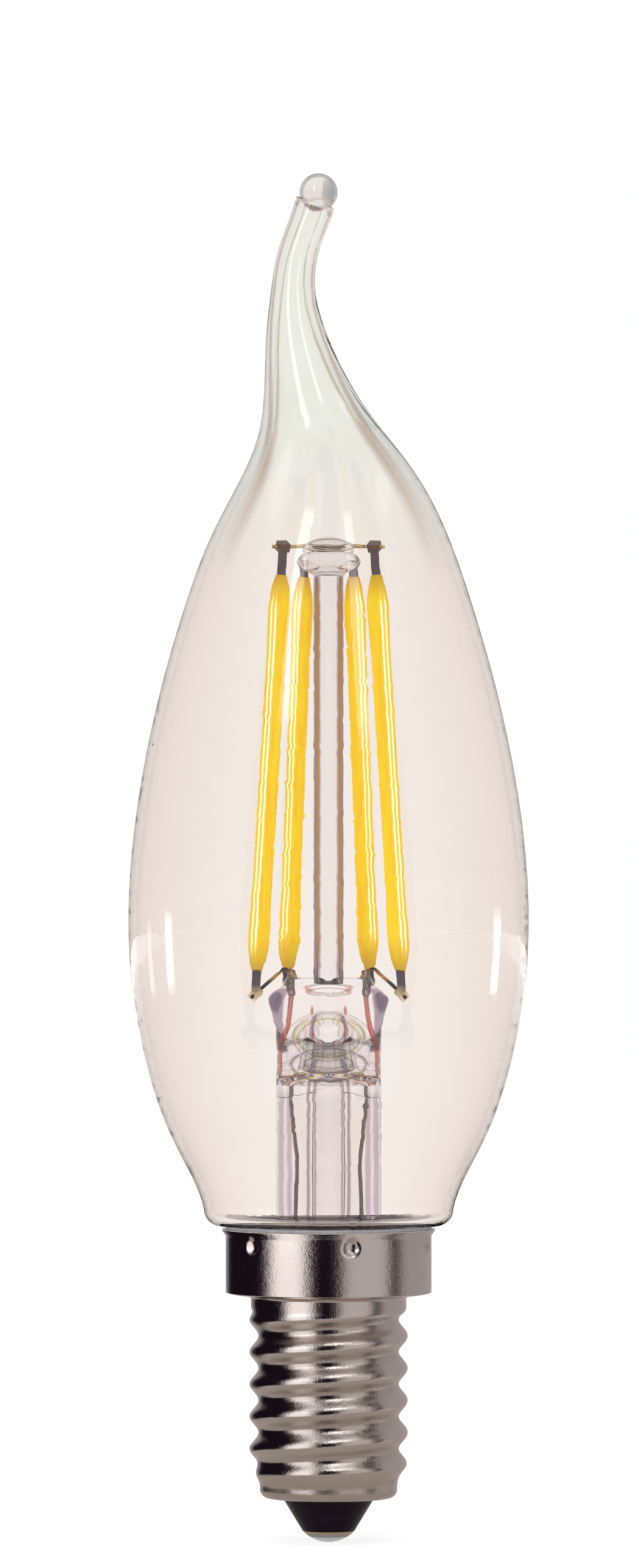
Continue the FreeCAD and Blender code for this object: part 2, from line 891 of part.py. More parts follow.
def make_press_glass():
    """The pinched end of the stem tube, a smooth form from round to flat."""
    low = size("press_bottom").value
    rise = size("press_top").value - low
    tube = (size("stem_radius") - size("press_inset")).value
    wide = size("press_half_width").value
    flat = size("press_half_depth").value
    shoulder = low + size("press_shoulder").value
    rings = [squared_ring(tube, tube, 2, low - size("press_overlap").value)]
    for share, roundness, depth, squareness in PRESS_OUTLINE:
        half_width = wide + (tube - wide) * roundness
        half_depth = flat + (tube - flat) * depth
        rings.append(squared_ring(half_width, half_depth, squareness, shoulder + rise * share))
    for share, width, depth, squareness in PRESS_CROWN:
        rings.append(squared_ring(wide * width, flat * depth, squareness, low + rise * share))
    return formed("press_glass", Part.makeLoft(rings, True, False))


def make_stem_blank():
    """The flared tube that is sealed to the envelope's neck, with a closed dome under the press."""
    tube = size("stem_radius")
    wall = size("stem_wall")
    rim = neck_rim()
    edge = size("flare_rim_height")
    top = size("flare_top")
    dome = size("cavity_top")
    step = size("press_bottom") + size("press_overlap")
    neck = size("collar_radius") - size("sheet") - size("cement_thickness") - size("glass_wall")
    bevel = size("press_bevel")
    bore = tube - wall
    corners = [
        (neck, rim),
        (neck, rim + edge),
        (tube, top),
        (tube, step - bevel),
        (tube - bevel, step),
        (bore, step),
        (bore, top),
        (neck - wall, rim),
    ]
    bends = {1: -size("flare_outer_round"), 6: size("flare_inner_round")}
    flare = turned_body("flare_tube", corners, bends)
    hollow_corners = [
        (0, top),
        (bore, top),
        (bore, dome - size("cavity_edge_drop")),
        (size("cavity_flat_radius"), dome),
        (0, dome),
    ]
    hollow = turned_body("stem_hollow", hollow_corners, {2: size("cavity_round")})
    return flare, hollow


def make_nose():
    """The blown bulge in front of the press where the exhaust tube opens into the bulb."""
    ball = primitive(
        "Ellipsoid",
        "vent_nose",
        Radius1=size("nose_half_height"),
        Radius2=size("nose_reach"),
        Radius3=size("nose_half_width"),
        Angle1=-90,
        Angle2=90,
        Angle3=360,
    )
    ball.Placement = Placement(Vector(0, -size("nose_set_out").value, nose_height().value), Rotation())
    return ball


def round_bar(name, radius, low, high):
    """An upright cylinder on the axis between two heights."""
    bar = primitive("Cylinder", name, Radius=radius, Height=high - low)
    bar.Placement = Placement(UP * low.value, Rotation())
    bar.setExpression("Placement.Base.z", low.text)
    return bar


def make_press_passages():
    """The gas way: up from the exhaust tube's bore, then out through the nose."""
    way = size("gas_way_radius")
    overlap = size("gas_way_overlap")
    tube_top = size("exhaust_top")
    vent_height = nose_height()
    press_top = size("press_top")
    bite = size("rod_bite")
    riser_corners = [
        (0, tube_top - overlap),
        (way, tube_top - overlap),
        (way, vent_height),
        (0, vent_height + way),
    ]
    riser = turned_body("gas_riser", riser_corners, {2: way})
    seat = round_bar("exhaust_seat", size("exhaust_radius"), size("cavity_top") - overlap, tube_top)
    rod_seat = round_bar("rod_seat", size("rod_radius"), press_top - bite, press_top + bite)
    forward = Placement(UP * vent_height.value, Rotation(Vector(1, 0, 0), 90))
    vent = primitive("Cylinder", "gas_vent", forward, Radius=size("vent_radius"), Height=size("stem_radius"))
    return [seat, riser, vent, rod_seat]


def make_stem(wires):
    """One piece of glass: flared tube, press and nose, with the wires sealed through it."""
    flare, hollow = make_stem_blank()
    climb = []
    for name, side in SIDES.items():
        foot = size("press_top") - size("meniscus_bite")
        climb.append(primitive(
            "Cone",
            f"lead_meniscus_{name}",
            Placement(Vector(side * size("knot_x").value, 0, foot.value), Rotation()),
            Radius1=size("meniscus_foot_radius"),
            Radius2=size("meniscus_top_radius"),
            Height=size("meniscus_height"),
        ))
    press = gather("press_blank", [make_press_glass(), make_nose()] + climb)
    shaped = combine("Cut", "press_hollowed", press, hollow)
    joined = gather("stem_blank", [flare, shaped])
    passages = gather("stem_passages", make_press_passages())
    opened = combine("Cut", "stem_opened", joined, passages)
    return combine("Cut", "stem_tube", opened, gather("stem_wires", wires))


def make_support_rod(hangers):
    """A solid glass rod ending in a button of two lobes, one for each hanger wire."""
    rod = size("rod_radius")
    low = size("press_top") - size("rod_bite")
    top = rod_top()
    fillet = size("rod_fillet")
    corners = [
        (0, low),
        (rod, low),
        (rod, top - fillet),
        (rod + fillet, top),
        (size("lower_lobe_radius"), top + size("lower_lobe_rise")),
        (size("button_waist_radius"), top + size("button_waist_rise")),
        (size("upper_lobe_radius"), top + size("upper_lobe_rise")),
        (0, top + size("button_rise")),
    ]
    bends = {
        2: -rod,
        3: size("button_foot_round"),
        4: size("lower_lobe_round"),
        5: size("upper_lobe_round"),
        6: size("button_top_round"),
    }
    body = turned_body("support_rod_blank", corners, bends)
    return combine("Cut", "support_rod", body, gather("hanger_wires", hangers))


# Filaments: coat, strip inside it and the two end tabs

class FilamentPlace:
    """The line that one filament stands on, with its tab and wire points."""

    def __init__(self, rank, side):
        sign = SIDES[side]
        self.rank = rank
        self.side = side
        self.name = f"{rank}_{side}"
        self.length = coat_length().value
        self.foot = Vector(
            sign * size(f"{rank}_foot_x").value,
            size(f"{rank}_foot_y").value,
            size("filament_bottom").value,
        )
        across = sign * size(f"{rank}_head_x").value - self.foot.x
        along = size(f"{rank}_head_y").value - self.foot.y
        up = math.sqrt(self.length ** 2 - across ** 2 - along ** 2)
        self.way = Vector(across, along, up).normalize()
        self.head_tab = size(f"{rank}_head_tab").value
        self.foot_tab = size(f"{rank}_foot_tab").value
        self.placement = Placement(self.foot, Rotation(UP, self.way))

    def at(self, distance):
        """A point on the line, measured up from the coat's lower end."""
        return self.foot + self.way * distance

    @property
    def head_joint(self):
        return self.at(self.length + self.head_tab)

    @property
    def foot_joint(self):
        return self.at(-self.foot_tab)


def bar_body(name, half_width, half_depth, low, high):
    """A flat bar along the vertical axis between two heights."""
    body = new_body(name)
    sketch = new_sketch(body, f"{name}_section", "XY_Plane", (0, 0, low))
    half_width = Size.of(half_width)
    half_depth = Size.of(half_depth)
    corners = [
        (-half_width, -half_depth),
        (half_width, -half_depth),
        (half_width, half_depth),
        (-half_width, half_depth),
    ]
    draw_outline(sketch, corners)
    length = Size.of(high) - Size.of(low)
    pad = body.newObject("PartDesign::Pad", f"{name}_pad")
    pad.Profile = sketch
    pad.Length = length.value
    pad.setExpression("Length", length.text)
    return body


def strip_bar(name, low, high):
    """A length of the flat strip that carries the chips, on the filament's own line."""
    return bar_body(name, size("strip_width") / 2, size("strip_thickness") / 2, low, high)


def make_coat(place):
    """The yellow coat: a slender rounded body with fuller ends, slotted for the strip."""
    length = coat_length()
    end = size("coat_end_radius")
    blob = size("blob_radius")
    slim = size("coat_radius")
    reach = size("blob_distance")
    even = size("coat_even_distance")
    swell = size("blob_round")
    corners = [
        (0, 0),
        (end, 0),
        (blob, reach),
        (slim, even),
        (slim, length - even),
        (blob, length - reach),
        (end, length),
        (0, length),
    ]
    bends = {1: swell, 5: swell}
    body = turned_body(f"coat_blank_{place.name}", corners, bends)
    slot = strip_bar(f"coat_slot_{place.name}", Size(-1), length + 1)
    coat = combine("Cut", f"filament_coat_{place.name}", body, slot)
    coat.Placement = place.placement
    return coat


def make_strip(place):
    """The carrier strip, between the two tabs inside the coat."""
    bite = size("tab_bite")
    strip = strip_bar(f"filament_strip_{place.name}", bite, coat_length() - bite)
    strip.Placement = place.placement
    return strip


def make_tab(place, end, wire, way):
    """An end tab: a flat strip out of the coat whose tip is crimped round its wire."""
    length = coat_length()
    bite = size("tab_bite")
    inset = size("crimp_inset")
    if end == "upper":
        low, high, joint = length - bite, length + place.head_tab - inset, place.head_joint
    else:
        low, high, joint = inset - place.foot_tab, bite, place.foot_joint
    name = f"{end}_tab_{place.name}"
    plate = strip_bar(f"{name}_plate", low, high)
    plate.Placement = place.placement
    reach = size("crimp_length")
    across = size("crimp_width")
    barrel = primitive("Box", f"{name}_barrel", Length=across, Width=across, Height=reach)
    turn = Rotation(UP, way)
    barrel.Placement = Placement(
        joint - turn.multVec(Vector(across.value, across.value, reach.value) / 2),
        turn,
    )
    crimp = combine("Cut", f"{name}_crimp", barrel, wire)
    return gather(name, [plate, crimp])


# Wires of the mount

def hanger_root(rank, side):
    """Where a hanger wire turns inside the button, one lobe for each wire."""
    lobe = {"front": "upper_lobe_rise", "rear": "lower_lobe_rise"}[rank]
    across = SIDES[side] * size(f"{rank}_root_x").value
    return Vector(across, size(f"{rank}_root_y").value, (rod_top() + size(lobe)).value)


def joint_way(root, joint):
    """Direction of the last run of a wire, through the joint and on to its tail."""
    return (joint - root).normalize()


def make_hanger(rank, places):
    """A wire through the button that carries the heads of two filaments."""
    left, right = (places[(rank, side)] for side in ("left", "right"))
    roots = [hanger_root(rank, side) for side in ("left", "right")]
    tail = size("hanger_tail").value
    ends = [
        place.head_joint + joint_way(root, place.head_joint) * tail
        for place, root in zip((left, right), roots)
    ]
    points = [ends[0], roots[0], roots[1], ends[1]]
    wire = bent_wire(points, size("hanger_wire_radius").value, size("hanger_bend").value)
    return formed(f"hanger_wire_{rank}", wire)


def knot_height():
    """Height of the weld knots, just under the crown of the press."""
    return size("press_top") - size("knot_depth")


def arm_points(place):
    """The route of a lead arm: up from the weld knot, over, and down to the foot of its filament."""
    sign = SIDES[place.side]
    x = size("knot_x").value
    top = size("press_top").value
    spread = size("arm_pitch").value / 2 * (1 if place.rank == "front" else -1)
    foot = (knot_height() + size("knot_radius") * KNOT_TOE_SHARE).value
    route = [Vector(sign * (x + spread), 0, foot)]
    route += [Vector(sign * (x + out), along, top + up) for out, along, up in ARM_ROUTES[place.rank]]
    joint = place.foot_joint
    return route + [joint + joint_way(route[-1], joint) * size("arm_tail").value]


def make_seal_wire(name):
    """The red wire sealed in the press, with the weld knot that joins it to the two lead arms."""
    sign = SIDES[name]
    x = size("knot_x").value
    knot = knot_height().value
    points = [Vector(sign * (x + out), 0, knot - drop) for out, drop in SEAL_ROUTE]
    points.append(Vector(sign * (x + SEAL_FOOT), 0, size("seal_wire_bottom").value))
    wire = bent_wire(points, size("seal_wire_radius").value, size("seal_wire_bend").value)
    return formed(f"seal_wire_{name}", wire.fuse(Part.makeSphere(size("knot_radius").value, points[0])))


def make_outer_lead(name):
    """The thin dark wire from the seal down through the stem to the driver board."""
    sign = SIDES[name]
    x = size("knot_x").value
    top = size("seal_wire_bottom").value
    straight = size("lead_x").value
    foot = (size("board_top") - size("lead_overlap")).value
    points = [Vector(sign * (x + SEAL_FOOT), 0, top)]
    points += [Vector(sign * (x + out), 0, top - drop) for out, drop in LEAD_ROUTE]
    points.append(Vector(sign * straight, 0, top - LEAD_STRAIGHT_DROP))
    points.append(Vector(sign * straight, 0, foot))
    wire = bent_wire(points, size("outer_lead_radius").value, size("outer_lead_bend").value)
    if name == "right":
        wire = wire.fuse(Part.makeSphere(size("outer_knot_radius").value, points[1]))
    return formed(f"outer_lead_{name}", wire)


# Driver inside the cap

def board_face():
    """Front face of the board, which the outer leads lie against."""
    return size("outer_lead_radius") + size("board_gap")


def board_bottom():
    return size("insulator_top") + size("board_bottom_gap")


def make_board():
    """The driver board stands upright on the insulator."""
    half = size("board_width") / 2
    face = board_face()
    back = face + size("board_thickness")
    board = box("driver_board_blank", (-half, face, board_bottom()), (half, back, size("board_top")))
    doc.recompute()
    upright = [number for number, edge in enumerate(board.Shape.Edges, start=1)
               if edge.BoundBox.YLength > 0.5 * SIZES["board_thickness"]]
    result = doc.addObject("Part::Chamfer", "driver_board")
    result.Label = "driver_board"
    result.Base = board
    result.Edges = [(number, SIZES["board_chamfer"], SIZES["board_chamfer"]) for number in upright]
    return result


def make_package(name, kind, legs):
    """A flat moulded package on the back of the board, with gull-wing legs along its two long sides."""
    back = board_face() + size("board_thickness")
    clear = size("package_gap")
    x = size("package_x")
    z = size(f"{kind}_middle")
    half = size("package_width") / 2
    rise = size(f"{kind}_height") / 2
    parts = [box(
        f"{name}_case",
        (x - half, back + clear, z - rise),
        (x + half, back + clear + size("package_depth"), z + rise),
    )]
    reach = half + size("leg_reach")
    for row in range(legs):
        place = z + size(f"{kind}_leg_pitch") * (row - (legs - 1) / 2)
        parts.append(box(
            f"{name}_leg_{row + 1}",
            (x - reach, back, place - size("leg_width") / 2),
            (x + reach, back + size("leg_thickness"), place + size("leg_width") / 2),
        ))
    return gather(name, parts)


def make_can():
    """The smoothing capacitor: an upright can with a rolled groove, its two leads bent into the board."""
    wide = size("can_radius")
    low = size("can_bottom")
    top = low + size("can_length")
    groove = low + size("can_groove_height")
    bevel = size("can_bevel")
    corners = [
        (0, low),
        (wide - bevel, low),
        (wide, low + bevel),
        (wide, groove - bevel),
        (wide - size("can_groove_depth"), groove),
        (wide, groove + bevel),
        (wide, top - bevel),
        (wide - bevel, top),
        (0, top),
    ]
    can = turned_body("capacitor_can", corners, {1: bevel, 6: bevel})
    x = size("can_x").value
    y = (board_face() - size("package_gap") - wide).value
    can.Placement = Placement(Vector(x, y, 0), Rotation())
    offset = size("can_lead_offset").value
    corner_z = (low - size("can_lead_drop")).value
    leads = []
    for number, place in enumerate((x - offset, x + offset), start=1):
        points = [
            Vector(place, y, low.value),
            Vector(place, y, corner_z),
            Vector(place, board_face().value, corner_z),
        ]
        leads.append(small_wire(f"capacitor_lead_{number}", points))
    return gather("capacitor", [can] + leads)


def small_wire(name, points):
    """A stiff tinned wire of the driver along the given points."""
    return formed(name, bent_wire(points, size("small_wire_radius").value, size("small_wire_bend").value))


def make_resistor():
    """The fusible resistor in the supply, whose lower lead runs to the centre contact."""
    wide = size("resistor_radius")
    low = size("resistor_bottom")
    top = low + size("resistor_length")
    slim = size("resistor_waist_radius")
    bell = size("resistor_bell_length")
    bevel = size("resistor_bevel")
    ease = wide - slim
    corners = [
        (0, low),
        (wide - bevel, low),
        (wide, low + bevel),
        (wide, low + bell - ease),
        (slim, low + bell),
        (slim, top - bell),
        (wide, top - bell + ease),
        (wide, top - bevel),
        (wide - bevel, top),
        (0, top),
    ]
    body = turned_body("resistor_body", corners, {1: bevel, 7: bevel})
    x = size("resistor_x").value
    y = size("resistor_y").value
    body.Placement = Placement(Vector(x, y, 0), Rotation())
    corner = Vector(x, y, (top + size("resistor_lead_rise")).value)
    points = [Vector(x, y, top.value), corner, Vector(x, board_face().value, corner.z)]
    return gather("fusible_resistor", [body, small_wire("resistor_head_lead", points)])


def make_contact_wire():
    """From the resistor's lower end down into the insulator's bore, onto the contact's shank."""
    x = size("resistor_x").value
    y = size("resistor_y").value
    start = size("resistor_bottom")
    aside = -(size("contact_shank_radius") - size("small_wire_radius")).value
    points = [
        Vector(x, y, start.value),
        Vector(x, y, (start - size("contact_wire_drop")).value),
        Vector(0, aside, (size("insulator_top") + size("contact_wire_entry")).value),
        Vector(0, aside, size("contact_shank_top").value),
    ]
    return small_wire("contact_wire", points)


def make_side_wire():
    """From the board's back out to the inside of the cap's neck."""
    radius = size("small_wire_radius").value
    angle = math.radians(size("shell_wire_angle").value)
    wall = (size("cap_neck_radius") - size("sheet")).value
    end = Vector(-wall * math.cos(angle) + radius, wall * math.sin(angle) - radius, 0)
    start = Vector(size("shell_wire_x").value, (board_face() + size("board_thickness")).value + radius, 0)
    middle = end * SHELL_WIRE_BEND_SHARE
    board_top = size("board_top").value
    neck_top = size("cap_neck_top").value
    levels = (board_top, board_top, neck_top, neck_top)
    points = [
        point + UP * (level - drop)
        for point, level, drop in zip((start, start, middle, end), levels, SHELL_WIRE_DROPS)
    ]
    return small_wire("shell_wire", points)


# Assembly and export

def build():
    """Make every piece and return the ones that are real parts of the bulb."""
    nodes = [make_contact(), make_insulator()]
    cap_blank, cap_shell = make_cap_shell()
    envelope = make_envelope()
    nodes += [cap_shell, make_cement(cap_blank, envelope), envelope]

    places = {(rank, side): FilamentPlace(rank, side) for rank, side in FILAMENTS}
    hangers = {rank: make_hanger(rank, places) for rank in ("front", "rear")}
    seals = {name: make_seal_wire(name) for name in SIDES}
    arm_radius = size("arm_wire_radius").value
    arm_bend = size("arm_bend").value
    arms = {}
    for key, place in places.items():
        blank = formed(f"lead_arm_blank_{place.name}", bent_wire(arm_points(place), arm_radius, arm_bend))
        arms[key] = combine("Cut", f"lead_arm_{place.name}", blank, seals[place.side])
    leads = [make_outer_lead(name) for name in SIDES]
    nodes += [make_stem(list(seals.values()) + list(arms.values()) + leads), make_exhaust_tube()]
    nodes.append(make_support_rod(list(hangers.values())))
    nodes += list(hangers.values()) + list(seals.values()) + list(arms.values()) + leads

    for (rank, side), place in places.items():
        root = hanger_root(rank, side)
        upper = make_tab(place, "upper", hangers[rank], joint_way(root, place.head_joint))
        bend = arm_points(place)[-2]
        lower = make_tab(place, "lower", arms[(rank, side)], joint_way(bend, place.foot_joint))
        nodes += [make_coat(place), make_strip(place), upper, lower]

    nodes.append(make_board())
    nodes.append(make_package("bridge_rectifier", "rectifier", 2))
    nodes.append(make_package("driver_chip", "chip", 4))
    nodes += [make_can(), make_resistor(), make_contact_wire(), make_side_wire()]
    return nodes


def check(nodes):
    """Stop if any object failed or any piece is empty or not valid."""
    for item in doc.Objects:
        if "Invalid" in item.State or "Error" in item.State:
            raise ValueError(f"{item.Name} failed: {item.State}")
    for node in nodes:
        if node.Shape.isNull() or not node.Shape.isValid() or not node.Shape.Solids:
            raise ValueError(f"{node.Label} has no valid shape")


def export(nodes):
    os.makedirs("parts", exist_ok=True)
    for node in nodes:
        node.Shape.exportStep(f"parts/{node.Label}.step")


fill_sheet()
pieces = build()
doc.recompute()
check(pieces)
export(pieces)
for piece in pieces:
    print(f"{piece.Label}: {len(piece.Shape.Solids)} solid, {piece.Shape.Volume:.2f} mm3")
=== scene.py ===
import logging
import math
from dataclasses import dataclass, field, replace
from enum import Enum
from typing import Iterable, Mapping, Sequence

import bmesh
import bpy
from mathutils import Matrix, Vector


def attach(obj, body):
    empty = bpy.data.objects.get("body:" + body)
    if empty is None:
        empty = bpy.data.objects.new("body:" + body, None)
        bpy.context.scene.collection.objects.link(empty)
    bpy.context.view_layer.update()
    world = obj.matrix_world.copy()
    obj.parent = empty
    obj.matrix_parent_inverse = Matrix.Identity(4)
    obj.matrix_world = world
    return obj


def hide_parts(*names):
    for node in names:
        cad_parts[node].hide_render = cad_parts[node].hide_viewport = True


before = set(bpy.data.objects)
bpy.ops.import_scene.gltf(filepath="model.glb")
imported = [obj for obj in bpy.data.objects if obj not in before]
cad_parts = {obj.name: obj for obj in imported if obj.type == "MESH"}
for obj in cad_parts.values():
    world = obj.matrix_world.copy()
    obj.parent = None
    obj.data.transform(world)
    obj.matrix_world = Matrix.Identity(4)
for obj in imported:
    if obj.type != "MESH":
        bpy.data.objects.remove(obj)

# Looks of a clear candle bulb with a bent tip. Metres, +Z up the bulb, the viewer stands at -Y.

LOG = logging.getLogger("candle_bulb")
MM = 0.001

Socket = bpy.types.NodeSocket
Colour = tuple[float, float, float]
Stop = tuple[float, Colour]
BLACK: Colour = (0.0, 0.0, 0.0)
WHITE: Colour = (1.0, 1.0, 1.0)


def grey(level: float) -> Colour:
    """A grey of one level.

    Args:
        level: How bright it is.

    Returns:
        The colour.
    """
    return (level, level, level)


class Side(Enum):
    """Which side of the bulb a piece stands on, with its sign along X."""

    LEFT = -1
    RIGHT = 1

    @property
    def word(self) -> str:
        """The side as it stands in a node's name."""
        return self.name.lower()


class Rank(Enum):
    """Whether a filament stands before or behind the stem."""

    FRONT = "front"
    REAR = "rear"


class NodeGraph:
    """The node tree of one material, built from short calls."""

    def __init__(self, name: str, world: bpy.types.World | None = None) -> None:
        """Start an empty material, or empty the tree of a world.

        Args:
            name: Name of the material.
            world: World whose tree to build instead.
        """
        self.material = world or bpy.data.materials.new(name)
        self.material.use_nodes = True
        self.tree = self.material.node_tree
        self.tree.nodes.clear()
        self.output = self.add("ShaderNodeOutputWorld" if world else "ShaderNodeOutputMaterial")

    def add(
        self, kind: str, values: Mapping[str, object] | None = None, **settings: object
    ) -> bpy.types.Node:
        """Add a node.

        Args:
            kind: Blender's name for the node type.
            values: Input names with a constant or a socket to link.
            settings: Properties of the node.

        Returns:
            The new node.
        """
        node = self.tree.nodes.new(kind)
        for name, value in settings.items():
            setattr(node, name, value)
        for name, value in (values or {}).items():
            self.feed(node.inputs[name], value)
        return node

    def feed(self, socket: Socket, value: object) -> None:
        """Link a socket to another one, or give it a constant.

        Args:
            socket: Input to feed.
            value: Output socket, number or colour.
        """
        if isinstance(value, Socket):
            self.tree.links.new(value, socket)
        elif isinstance(value, tuple) and socket.type == "RGBA":
            socket.default_value = (*value, 1.0)
        else:
            socket.default_value = value

    def place(self) -> Socket:
        """Object coordinates in millimetres.

        Returns:
            Vector socket.
        """
        source = self.add("ShaderNodeTexCoord").outputs["Object"]
        return self.add("ShaderNodeMapping", {"Vector": source, "Scale": grey(1 / MM)}).outputs["Vector"]

    def axis(self, name: str) -> Socket:
        """One of the object coordinates in millimetres.

        Args:
            name: X, Y or Z.

        Returns:
            Value socket.
        """
        return self.add("ShaderNodeSeparateXYZ", {"Vector": self.place()}).outputs[name]

    def radius(self) -> Socket:
        """Distance from the bulb's axis in millimetres.

        Returns:
            Value socket.
        """
        return self.length(self.place(), (1.0, 1.0, 0.0))

    def length(self, vector: Socket, kept: Colour) -> Socket:
        """Length of a vector over some of its axes.

        Args:
            vector: The vector.
            kept: 1 for each axis that counts, 0 for the others.

        Returns:
            Value socket.
        """
        flat = self.add("ShaderNodeVectorMath", operation="MULTIPLY")
        self.feed(flat.inputs[0], vector)
        self.feed(flat.inputs[1], kept)
        length = self.add("ShaderNodeVectorMath", {0: flat.outputs["Vector"]}, operation="LENGTH")
        return length.outputs["Value"]

    def share(self, value: Socket, low: float, high: float) -> Socket:
        """Map a range of a value to 0 to 1, held at both ends.

        Args:
            value: Value to map.
            low: Value that gives 0.
            high: Value that gives 1.

        Returns:
            Value socket.
        """
        node = self.add("ShaderNodeMapRange", {"Value": value, "From Min": low, "From Max": high})
        return node.outputs["Result"]

    def noise(self, cloud: "Cloud") -> Socket:
        """Cloudy noise in millimetre space.

        Args:
            cloud: Its scale and layers.

        Returns:
            Value socket from about 0 to 1.
        """
        warped = self.add("ShaderNodeMapping", {"Vector": self.place(), "Scale": cloud.stretch})
        return self.add("ShaderNodeTexNoise", {
            "Vector": warped.outputs["Vector"],
            "Scale": cloud.scale,
            "Detail": cloud.detail,
            "Roughness": cloud.roughness,
        }).outputs["Fac"]

    def ramp(self, value: Socket, stops: Sequence[Stop]) -> Socket:
        """Turn a value into a colour.

        Args:
            value: Value from 0 to 1.
            stops: Place and colour of each stop.

        Returns:
            Colour socket.
        """
        node = self.add("ShaderNodeValToRGB", {"Fac": value})
        elements = node.color_ramp.elements
        while len(elements) < len(stops):
            elements.new(1.0)
        for element, (place, colour) in zip(elements, stops):
            element.position = place
            element.color = (*colour, 1.0)
        return node.outputs["Color"]

    def facing(self) -> Socket:
        """How far the surface turns away from the eye, 0 straight on and 1 at its edge.

        Returns:
            Value socket.
        """
        return self.add("ShaderNodeLayerWeight", {"Blend": 0.5}).outputs["Facing"]

    def maths(self, operation: str, *values: object, clamp: bool = False) -> Socket:
        """Work out a number.

        Args:
            operation: Blender's name for the sum.
            values: Numbers or sockets.
            clamp: Whether to hold the result between 0 and 1.

        Returns:
            Value socket.
        """
        inputs = dict(enumerate(values))
        return self.add("ShaderNodeMath", inputs, operation=operation, use_clamp=clamp).outputs[0]

    def levels(self, value: Socket, low: float, high: float) -> Socket:
        """Stretch a noise value between two levels.

        Args:
            value: Value from 0 to 1.
            low: Result for 0.
            high: Result for 1.

        Returns:
            Value socket.
        """
        node = self.add("ShaderNodeMapRange", {"Value": value, "To Min": low, "To Max": high})
        return node.outputs["Result"]

    def mix(self, factor: object, first: object, second: object, blend: str = "MIX") -> Socket:
        """Blend two colours.

        Args:
            factor: Share of the second colour.
            first: First colour.
            second: Second colour.
            blend: Way of blending.

        Returns:
            Colour socket.
        """
        node = self.add("ShaderNodeMix", data_type="RGBA", blend_type=blend)
        for name, value in (("Factor_Float", factor), ("A_Color", first), ("B_Color", second)):
            self.feed(next(socket for socket in node.inputs if socket.identifier == name), value)
        return next(socket for socket in node.outputs if socket.identifier == "Result_Color")

    def bump(self, height: Socket, strength: float, depth: float) -> Socket:
        """Normal of a height pattern.

        Args:
            height: Height from 0 to 1.
            strength: Strength from 0 to 1.
            depth: Depth of the pattern in millimetres.

        Returns:
            Normal socket.
        """
        node = self.add("ShaderNodeBump", {"Height": height, "Strength": strength, "Distance": depth * MM})
        return node.outputs["Normal"]

    def glow(self, colour: object, strength: object = 1.0) -> Socket:
        """Light that a surface gives off.

        Args:
            colour: Its colour.
            strength: How bright it is, where 1 is white.

        Returns:
            Shader socket.
        """
        return self.add("ShaderNodeEmission", {"Color": colour, "Strength": strength}).outputs[0]

    def either(self, factor: object, first: Socket, second: Socket) -> Socket:
        """Blend two shaders.

        Args:
            factor: Share of the second shader.
            first: First shader.
            second: Second shader.

        Returns:
            Shader socket.
        """
        return self.add("ShaderNodeMixShader", {0: factor, 1: first, 2: second}).outputs[0]

    def show(self, shader: Socket, found: bool = True) -> bpy.types.Material:
        """Close the tree with a shader.

        Args:
            shader: Shader of the surface.
            found: Whether light is also aimed from other pieces at what glows.

        Returns:
            The material.
        """
        self.feed(self.output.inputs["Surface"], shader)
        if not found:
            self.material.cycles.emission_sampling = "NONE"
        return self.material

    def seen_rays(self) -> Socket:
        """Share that is 1 for camera, mirror and transmission rays.

        Returns:
            Value socket.
        """
        path = self.add("ShaderNodeLightPath").outputs
        total = path["Is Camera Ray"]
        for name in ("Is Glossy Ray", "Is Transmission Ray"):
            total = self.maths("ADD", total, path[name], clamp=True)
        return total


@dataclass(frozen=True)
class Cloud:
    """Cloudy noise: waves for each millimetre, finer layers and their weight, and scale along each axis."""

    scale: float
    detail: float = 3.0
    roughness: float = 0.5
    stretch: Colour = (1.0, 1.0, 1.0)


class Finish:
    """The finish of one or more pieces: a principled surface whose inputs each kind works out."""

    name: str

    def inputs(self, graph: NodeGraph) -> dict[str, object]:
        """Inputs of the surface.

        Args:
            graph: Graph to add to.

        Returns:
            A constant or a socket for each input's name.
        """
        raise NotImplementedError

    def material(self) -> bpy.types.Material:
        """Build the material.

        Returns:
            The material.
        """
        graph = NodeGraph(self.name)
        return graph.show(graph.add("ShaderNodeBsdfPrincipled", self.inputs(graph)).outputs["BSDF"])


@dataclass(frozen=True)
class Mark:
    """An oval line or patch painted on glass, standing in for what refraction shows: painted shade, painted
    coloured lines and painted highlights.

    Its middle and half sizes are in millimetres. It runs from its inside to its outside, both shares of the
    oval, and fades over the share soft. A mark on both sides has a mirror image across the axis.
    """

    x: float
    z: float
    half_width: float
    half_height: float
    inside: float
    outside: float
    colour: Colour
    strength: float = 1.0
    both: bool = False
    soft: float = 0.12

    def oval(self, graph: NodeGraph) -> Socket:
        """How far a spot lies from the middle of the oval seen from the front, 1 on its line.

        Args:
            graph: Graph to add to.

        Returns:
            Value socket.
        """
        spot = graph.place()
        if self.both:
            spot = graph.add("ShaderNodeVectorMath", {0: spot}, operation="ABSOLUTE").outputs["Vector"]
        centred = graph.add("ShaderNodeMapping", {
            "Vector": spot,
            "Location": (self.x, 0.0, self.z),
            "Scale": (self.half_width, 1.0, self.half_height),
        }, vector_type="TEXTURE")
        return graph.length(centred.outputs["Vector"], (1.0, 0.0, 1.0))

    def cover(self, graph: NodeGraph) -> Socket:
        """Where the mark shows.

        Args:
            graph: Graph to add to.

        Returns:
            Colour socket from black to the mark's strength.
        """
        reach = self.outside + self.soft
        full = grey(self.strength)
        stops = [(self.inside / reach, full), (self.outside / reach, full), (1.0, BLACK)]
        if self.inside > 0.0:
            stops.insert(0, (max(0.0, self.inside - self.soft) / reach, BLACK))
        return graph.ramp(graph.share(self.oval(graph), 0.0, reach), stops)


